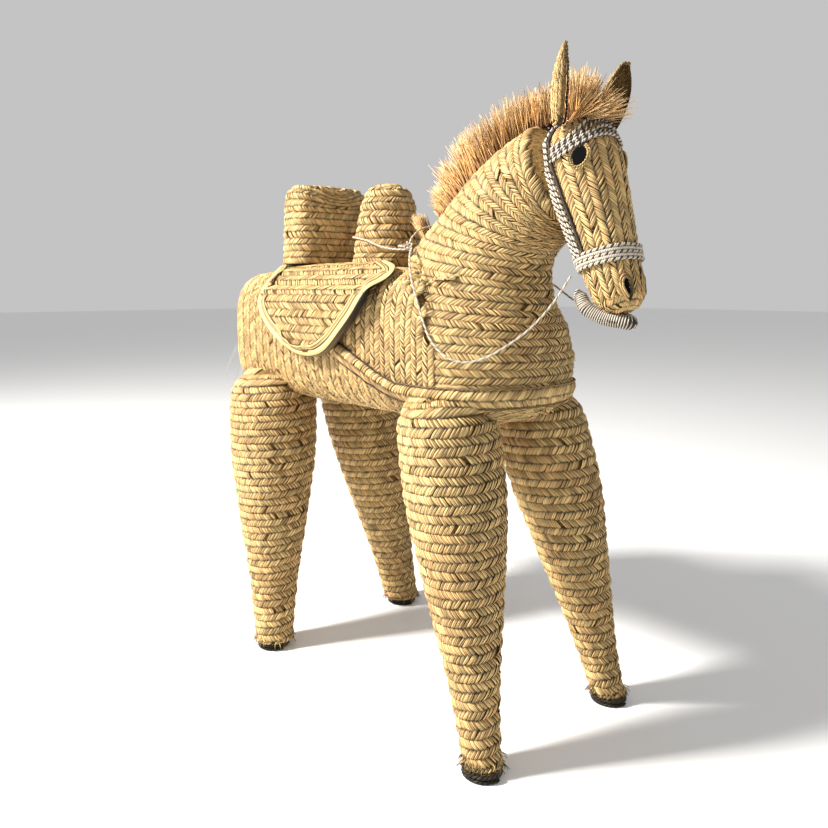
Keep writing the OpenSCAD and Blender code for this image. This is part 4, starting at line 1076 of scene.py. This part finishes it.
def makeSaddle():
    padBundle = Bundle()
    for side, name in ((1, "right"), (-1, "left")):
        cover, xs = makeSaddleSide(side)
        g = cover.grid
        bend = nodeBox("flap_" + name)[1][2] - 6.5 * mm
        middle = len(xs) // 2
        line = cover.at(np.full(300, float(middle)), np.linspace(0, 1, 300))
        edges = evenEdges(line, 0, 1, tape)
        # the outline: the last points forward and back on each line down from the spine
        rear, front = [], []
        for j in range(0, g.shape[1], 3):
            good = np.flatnonzero(np.isfinite(g[:, j, 0]))
            if len(good) > 4:
                rear.append(g[good[0], j])
                front.append(g[good[-1], j])
        outline = smoothLine(np.array(rear + front[::-1])[::2], 5 * mm)
        easeOut(outline, 26)
        for bundle, part in ((padBundle, "pad"), (Bundle(), "flap")):
            keepHigh = part == "pad"

            def otherSide(points):
                return (points[..., 2].reshape(len(points), -1).mean(1) < bend) == keepHigh

            def away(points):
                mid = points.reshape(len(points), -1, 3).mean(1)
                rim = np.linalg.norm(mid[:, None] - outline[None], axis=-1).min(1) < 11 * mm
                return rim | otherSide(points)
            underLayer(bundle, cover, 2.0 * mm, 1, otherSide)
            braidColumns(bundle, cover, edges, 0, cover.rows - 1.01, pad, -1, away)
            if not keepHigh:
                # the flap's thickness, rolled with straw
                rim = outline[outline[:, 2] < bend] - np.array([0, -side * 6 * mm, 0])
                for k in range(3):
                    strand = rim + np.array([0, side * (k - 1) * 4.2 * mm, 0])
                    tube(bundle, strand, saddle["rimStrand"], 6, 0.3 + 0.2 * k)
                piece = bundle.build("flap_weave_" + name, ["straw", "gap"], body=name + "_flap")
                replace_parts(piece, "flap_" + name)
        # edging: two smooth bands of straw along the outline
        tangent, _, _ = lineFrame(outline)
        known = np.isfinite(cover.normal).all(-1) & np.isfinite(g).all(-1)
        near = np.linalg.norm(outline[:, None] - g[known][None], axis=-1).argmin(1)
        normal = cover.normal[known][near]
        easeOut(normal, 8)
        normal = unit(normal)
        inward = np.cross(normal, tangent)
        inward *= np.sign(np.sum(inward * (outline.mean(0) - outline)))
        inward = unit(inward)
        edging = Bundle()
        w = np.linspace(-1, 1, 7)
        for k in range(2):
            centre = outline + inward * saddle["edging"] * (k + 0.46) + normal * (1.4 - 0.5 * k) * mm
            points = centre[:, None] + inward[:, None] * w[None, :, None] * saddle["edging"] * 0.48 \
                + normal[:, None] * (2.4 * mm * (1 - w ** 4))[None, :, None]
            run = np.arange(len(outline)) * 5 * mm
            lie = np.stack(np.broadcast_arrays(run[:, None], w[None] * 4.5 * mm, 7.0 * k), -1)
            height = points[:, 3, 2]
            # the edging above the bend goes with the pad, the rest with the flap
            for target, finish in ((padBundle, 2), (edging, 0)):
                where = np.flatnonzero(height >= bend - 3 * mm if finish else height <= bend + 3 * mm)
                for rows in np.split(where, np.flatnonzero(np.diff(where) > 1) + 1):
                    if len(rows) < 2:
                        continue
                    shape = (1, len(rows), 7)
                    # the tuck mark on both edges of each band is painted shade along its edges
                    target.grids(points[rows][None], np.full(shape, 0.4 + 0.3 * k),
                                 np.broadcast_to(np.abs(w) ** 12, shape), lie[rows][None], finish)
        piece = edging.build("edging_weave_" + name, ["edging"], body=name + "_flap")
        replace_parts(piece, "flap_edging_" + name)
    piece = padBundle.build("pad_weave", ["straw", "gap", "edging"])
    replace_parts(piece, "saddle_pad")


makeSaddle()


def makeBlock(node, name, footHeight, style):
    low, high = nodeBox(node)
    middle = (low + high) / 2
    tall = high[2] - low[2]
    heights = np.arange(low[2] + 1 * mm, high[2] - 0.30 * tall, 3 * mm)
    base = (middle[0], 0, heights[-1])
    stations = [((middle[0], 0, z), (0, -1, 0), (1, 0, 0), (0, 0, 1), 0) for z in heights]
    stations += [(base, (0, -1, 0), (1, 0, 0), (0, 0, 1), math.radians(a)) for a in np.linspace(3, 88, 34)]
    cover = castCover([node], stations, 128, 0.3)
    foot = cover.grid[0] + (cover.grid[0] - np.array([middle[0], 0, cover.grid[0, 0, 2]])) * 0.03
    foot[:, 2] = footHeight
    cover.grid = np.concatenate([foot[None], (foot[None] + cover.grid[:1]) / 2, cover.grid])
    cover.rows += 2
    cover.settle()
    bundle = Bundle()
    line = cover.at(np.linspace(0, cover.rows - 1.5, 300), np.full(300, 0.0))
    edges = evenEdges(line, 0, cover.rows - 1.5, tape * 0.92)
    underLayer(bundle, cover, 3.0 * mm, 1)
    braidRings(bundle, cover, edges, style, -1, None)
    strayFibres(bundle, cover, 70, 4 * mm)
    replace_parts(bundle.build(name, ["straw", "gap"]), node)


makeBlock("cantle_cover", "cantle_weave", nodeBox("saddle_pad")[1][2] + 0.5 * mm, block)
makeBlock("pommel_cover", "pommel_weave", barrelHigh[2] + 3 * mm, block)


breastBand = {"cord": 1.8 * mm, "lay": 16 * mm, "stand": 4.5 * mm}


def makeBreastBand():
    tree = cadMesh("breast_band")[1]
    low, high = nodeBox("breast_band")
    turn = np.radians(np.linspace(-155, 155, 260))
    centre = np.array([0.1 + stance[0], 0, 0])
    away = np.stack([np.cos(turn), -np.sin(turn), 0 * turn], 1)
    grid = np.full((15, len(turn), 3), np.nan)
    for j, ray in enumerate(away):
        hits = []
        for z in np.arange(low[2] + 0.5 * mm, high[2], 2 * mm):
            hit = tree.ray_cast(Vector(centre + ray * 0.6 + np.array([0, 0, z])), Vector(-ray), 0.6)[0]
            if hit is not None:
                hits.append(hit)
        if len(hits) > 6:
            hits = np.array(hits)
            z = np.linspace(hits[0, 2], hits[-1, 2], 15)
            grid[:, j] = np.stack([np.interp(z, hits[:, 2], hits[:, k]) for k in range(3)], 1)
    # towards its upper and lower edge the band is drawn in against the cover
    for i in range(15):
        edge = abs(i / 7 - 1) ** 2.5
        for j in np.flatnonzero(np.isfinite(grid[i, :, 0])):
            place, normal = trunkTree.find_nearest(Vector(grid[i, j]))[:2]
            grid[i, j] += (np.array(place) + np.array(normal) * breastBand["stand"] - grid[i, j]) * edge
    band = Cover(grid, closed=False)
    bundle = Bundle()
    underLayer(bundle, band, 2.0 * mm, 1, stride=1)
    braidRings(bundle, band, (0.6, 13.4), flat, 1, None, turn=(0.001, 0.999))
    for row in (0.3, 13.7):
        line = band.at(np.full(300, row), np.linspace(0.001, 0.998, 300), 1.0 * mm)
        line = line[np.isfinite(line).all(axis=1)]
        twistedCord(bundle, line, breastBand["cord"], breastBand["lay"], (0, 0), 5)
    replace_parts(bundle.build("band_weave", ["straw", "gap"]), "breast_band")


makeBreastBand()
print("saddle and breast band made")


# A fibre: from root to tip with some droop, thin at the tip
def fibre(bundle, root, tip, droop, thick, tone, finish=0, rows=5):
    k = np.linspace(0, 1, rows)[:, None]
    line = root + (tip - root) * k + np.array(droop) * k ** 2
    tube(bundle, line, thick * (1 - 0.72 * k[:, 0]), 3, tone, finish)


# Rows along the crest: root X, root Z above the back, lean from upright in degrees,
# length, and half width at the tips
crest = [(30, 104, -45, 30, 10), (50, 121, -40, 60, 18), (76, 138, -36, 79, 24), (106, 154, -24, 90, 27),
         (146, 180, -18, 88, 30), (190, 204, -10, 83, 32), (236, 226, 0, 75, 33), (276, 238, 7, 68, 33),
         (298, 242, 9, 63, 26)]


mane = {"tufts": 54, "hairs": 44, "thick": 1.25 * mm}
tuft = {"hairs": 260, "thick": 0.9 * mm}
forelock = {"tufts": 34, "hairs": 24, "thick": 1.35 * mm}
tail = {"hairs": 420, "thick": 0.75 * mm, "spread": 0.42, "wander": 2.2 * mm, "turns": 14}


def makeMane():
    rows = np.array(crest, dtype=float)
    bundle = Bundle()
    tufts = mane["tufts"]
    for n in range(tufts):
        s = np.clip((n + rng.uniform(-0.3, 0.3)) / (tufts - 1), 0, 1) * (len(rows) - 1)
        x, z, lean, length, wide = (np.interp(s, np.arange(len(rows)), rows[:, c]) for c in range(5))
        root = np.array([x * mm + stance[0], 0, z * mm + barrelHigh[2]])
        length *= rng.uniform(0.82, 1.1)
        tuftLean = lean + rng.normal(0, 6)
        tuftTone = rng.uniform(0.2, 0.9)
        for _ in range(mane["hairs"]):
            across = rng.uniform(-1, 1)
            here = root + np.array([rng.normal(0, 4), across * 12, rng.normal(0, 2) - 5 - 3 * across ** 2]) * mm
            a = math.radians(tuftLean + rng.normal(0, 6))
            reach = length * rng.uniform(0.78, 1.05) * (1 - 0.12 * across ** 2)
            out = across * (wide - 10) + rng.normal(0, 4)
            tip = here + np.array([math.sin(a) * reach, out, math.cos(a) * reach]) * mm
            fibre(bundle, here, tip, np.array([rng.normal(0, 4), rng.normal(0, 4), -3]) * mm, mane["thick"],
                  np.clip(tuftTone + rng.normal(0, 0.35), 0, 1))
    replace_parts(bundle.build("mane_fibres", ["mane"], slot="mane_fibre"), "mane")


def makeTuft():
    low, high = nodeBox("withers_tuft")
    bundle = Bundle()
    for _ in range(tuft["hairs"]):
        off = np.array([rng.normal(0, 4) - 8, rng.uniform(-12, 12), rng.normal(0, 3) + 8]) * mm
        root = np.array([high[0], 0, low[2]]) + off
        root = np.array(trunkTree.find_nearest(Vector(root))[0])
        tip = np.array([low[0] + rng.uniform(-4, 16) * mm, root[1] * 1.7, high[2] - rng.uniform(0, 22) * mm])
        fibre(bundle, root, tip, (0, 0, -2 * mm), tuft["thick"], rng.uniform(0, 1))
    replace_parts(bundle.build("withers_fibres", ["mane"], slot="mane_fibre"), "withers_tuft")


def makeForelock():
    bundle = Bundle()
    root = headTop + np.array([14, 0, 6]) * mm
    for _ in range(forelock["tufts"]):
        lean, side = rng.uniform(-28, 82), rng.uniform(-34, 34)
        tone = rng.uniform(0.2, 1)
        length = np.interp(lean, (-28, 30, 82), (92, 90, 104)) * rng.uniform(0.75, 1.0)
        for _ in range(forelock["hairs"]):
            here = root + np.array([rng.uniform(-14, 10), rng.uniform(-16, 16), rng.uniform(-4, 4)]) * mm
            a, b = math.radians(lean + rng.normal(0, 4)), math.radians(side + rng.normal(0, 3))
            way = np.array([math.sin(a), math.sin(b) * 0.8, math.cos(a)])
            tip = here + way * length * rng.uniform(0.7, 1.0) * mm
            droop = np.array([0, 0, -6]) * mm * max(0, math.sin(a))
            fibre(bundle, here, tip, droop, forelock["thick"], np.clip(tone + rng.normal(0, 0.2), 0, 1))
    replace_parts(bundle.build("forelock_fibres", ["mane"], slot="mane_fibre"), "forelock")


def makeTail():
    low, high = nodeBox("tail")
    bundle = Bundle()
    for _ in range(tail["hairs"]):
        spread = rng.normal(0, tail["spread"])
        top = np.array([high[0] - 2 * mm, rng.uniform(-8, 8) * mm, high[2] - rng.uniform(2, 14) * mm])
        reach = rng.uniform(0.45, 0.98)
        y = np.clip(spread, -0.96, 0.96) * high[1]
        x = low[0] + rng.uniform(2, 40) * mm
        k = np.linspace(0, 1, 9)[:, None]
        bottom = np.array([x, y, high[2] - reach * (high[2] - low[2])])
        line = top + (bottom - top) * k
        line[:, 0] = top[0] + (x - top[0]) * np.sin(k[:, 0] * 1.6) ** 0.8
        line[:, 1] = top[1] + (y - top[1]) * k[:, 0] ** 0.75
        line += np.cumsum(rng.normal(0, tail["wander"], (9, 3)), 0) * k * np.array([0.6, 1, 0.3])
        line[:, 0] = np.minimum(line[:, 0], high[0] - 1 * mm)
        tube(bundle, line, tail["thick"] * (1 - 0.75 * k[:, 0]), 3, rng.uniform(0, 1))
    # strands wound round the root bind it
    for _ in range(tail["turns"]):
        a = np.linspace(0, 2 * math.pi, 14)
        height = high[2] - rng.uniform(4, 20) * mm
        ring = np.stack([high[0] - 8 * mm + 6 * mm * np.cos(a), 8 * mm * np.sin(a), np.full(14, height)], 1)
        tube(bundle, ring, 1.3 * mm, 5, rng.uniform(0, 1))
    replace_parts(bundle.build("tail_fibres", ["tail"], body="tail_hair", slot="tail_fibre"), "tail")


makeMane()
makeTuft()
makeForelock()
makeTail()
print("hair made")


# The inner frame and its packing keep their CAD meshes
timbers = ("spine_beam", "front_crossbar", "rear_crossbar", "neck_post", "head_post")
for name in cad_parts:
    if "packing" in name:
        finishNode(name, "packing")
    elif name.startswith("leg_post") or name in timbers:
        finishNode(name, "timber")
    elif name == "frame_screws":
        finishNode(name, "steel")


# Lamps: name, place, size, power and colour
studio = {"fill": 0.55, "lamps": [("key", (-1.9, -3.0, 3.3), 0.7, 620, (1.0, 0.97, 0.92)),
                                  ("front", (3.4, -1.0, 2.0), 2.4, 8, (1.0, 1.0, 1.0))]}


def makeStudio():
    mesh = bpy.data.meshes.new("floor")
    mesh.from_pydata([(-30, -30, 0), (30, -30, 0), (30, 30, 0), (-30, 30, 0)], [], [(0, 1, 2, 3)])
    floor = bpy.data.objects.new("floor", mesh)
    bpy.context.scene.collection.objects.link(floor)
    made, start, feed = material("pale_floor", Base_Color=(0.86, 0.86, 0.86), Roughness=0.8)
    mesh.materials.append(made)
    world = bpy.data.worlds.new("studio")
    world.use_nodes = True
    world.node_tree.nodes["Background"].inputs["Color"].default_value = (1, 1, 1, 1)
    world.node_tree.nodes["Background"].inputs["Strength"].default_value = studio["fill"]
    bpy.context.scene.world = world
    bpy.context.scene.view_settings.view_transform = "Standard"
    for name, place, size, power, colour in studio["lamps"]:
        data = bpy.data.lights.new(name, "AREA")
        data.energy, data.size, data.color = power, size, colour
        lamp = bpy.data.objects.new(name, data)
        lamp.location = Vector(place)
        aim = Vector((stance[0], 0, 0.65)) - lamp.location
        lamp.rotation_euler = aim.to_track_quat("-Z", "Y").to_euler()
        bpy.context.scene.collection.objects.link(lamp)


makeStudio()
print("studio lit")
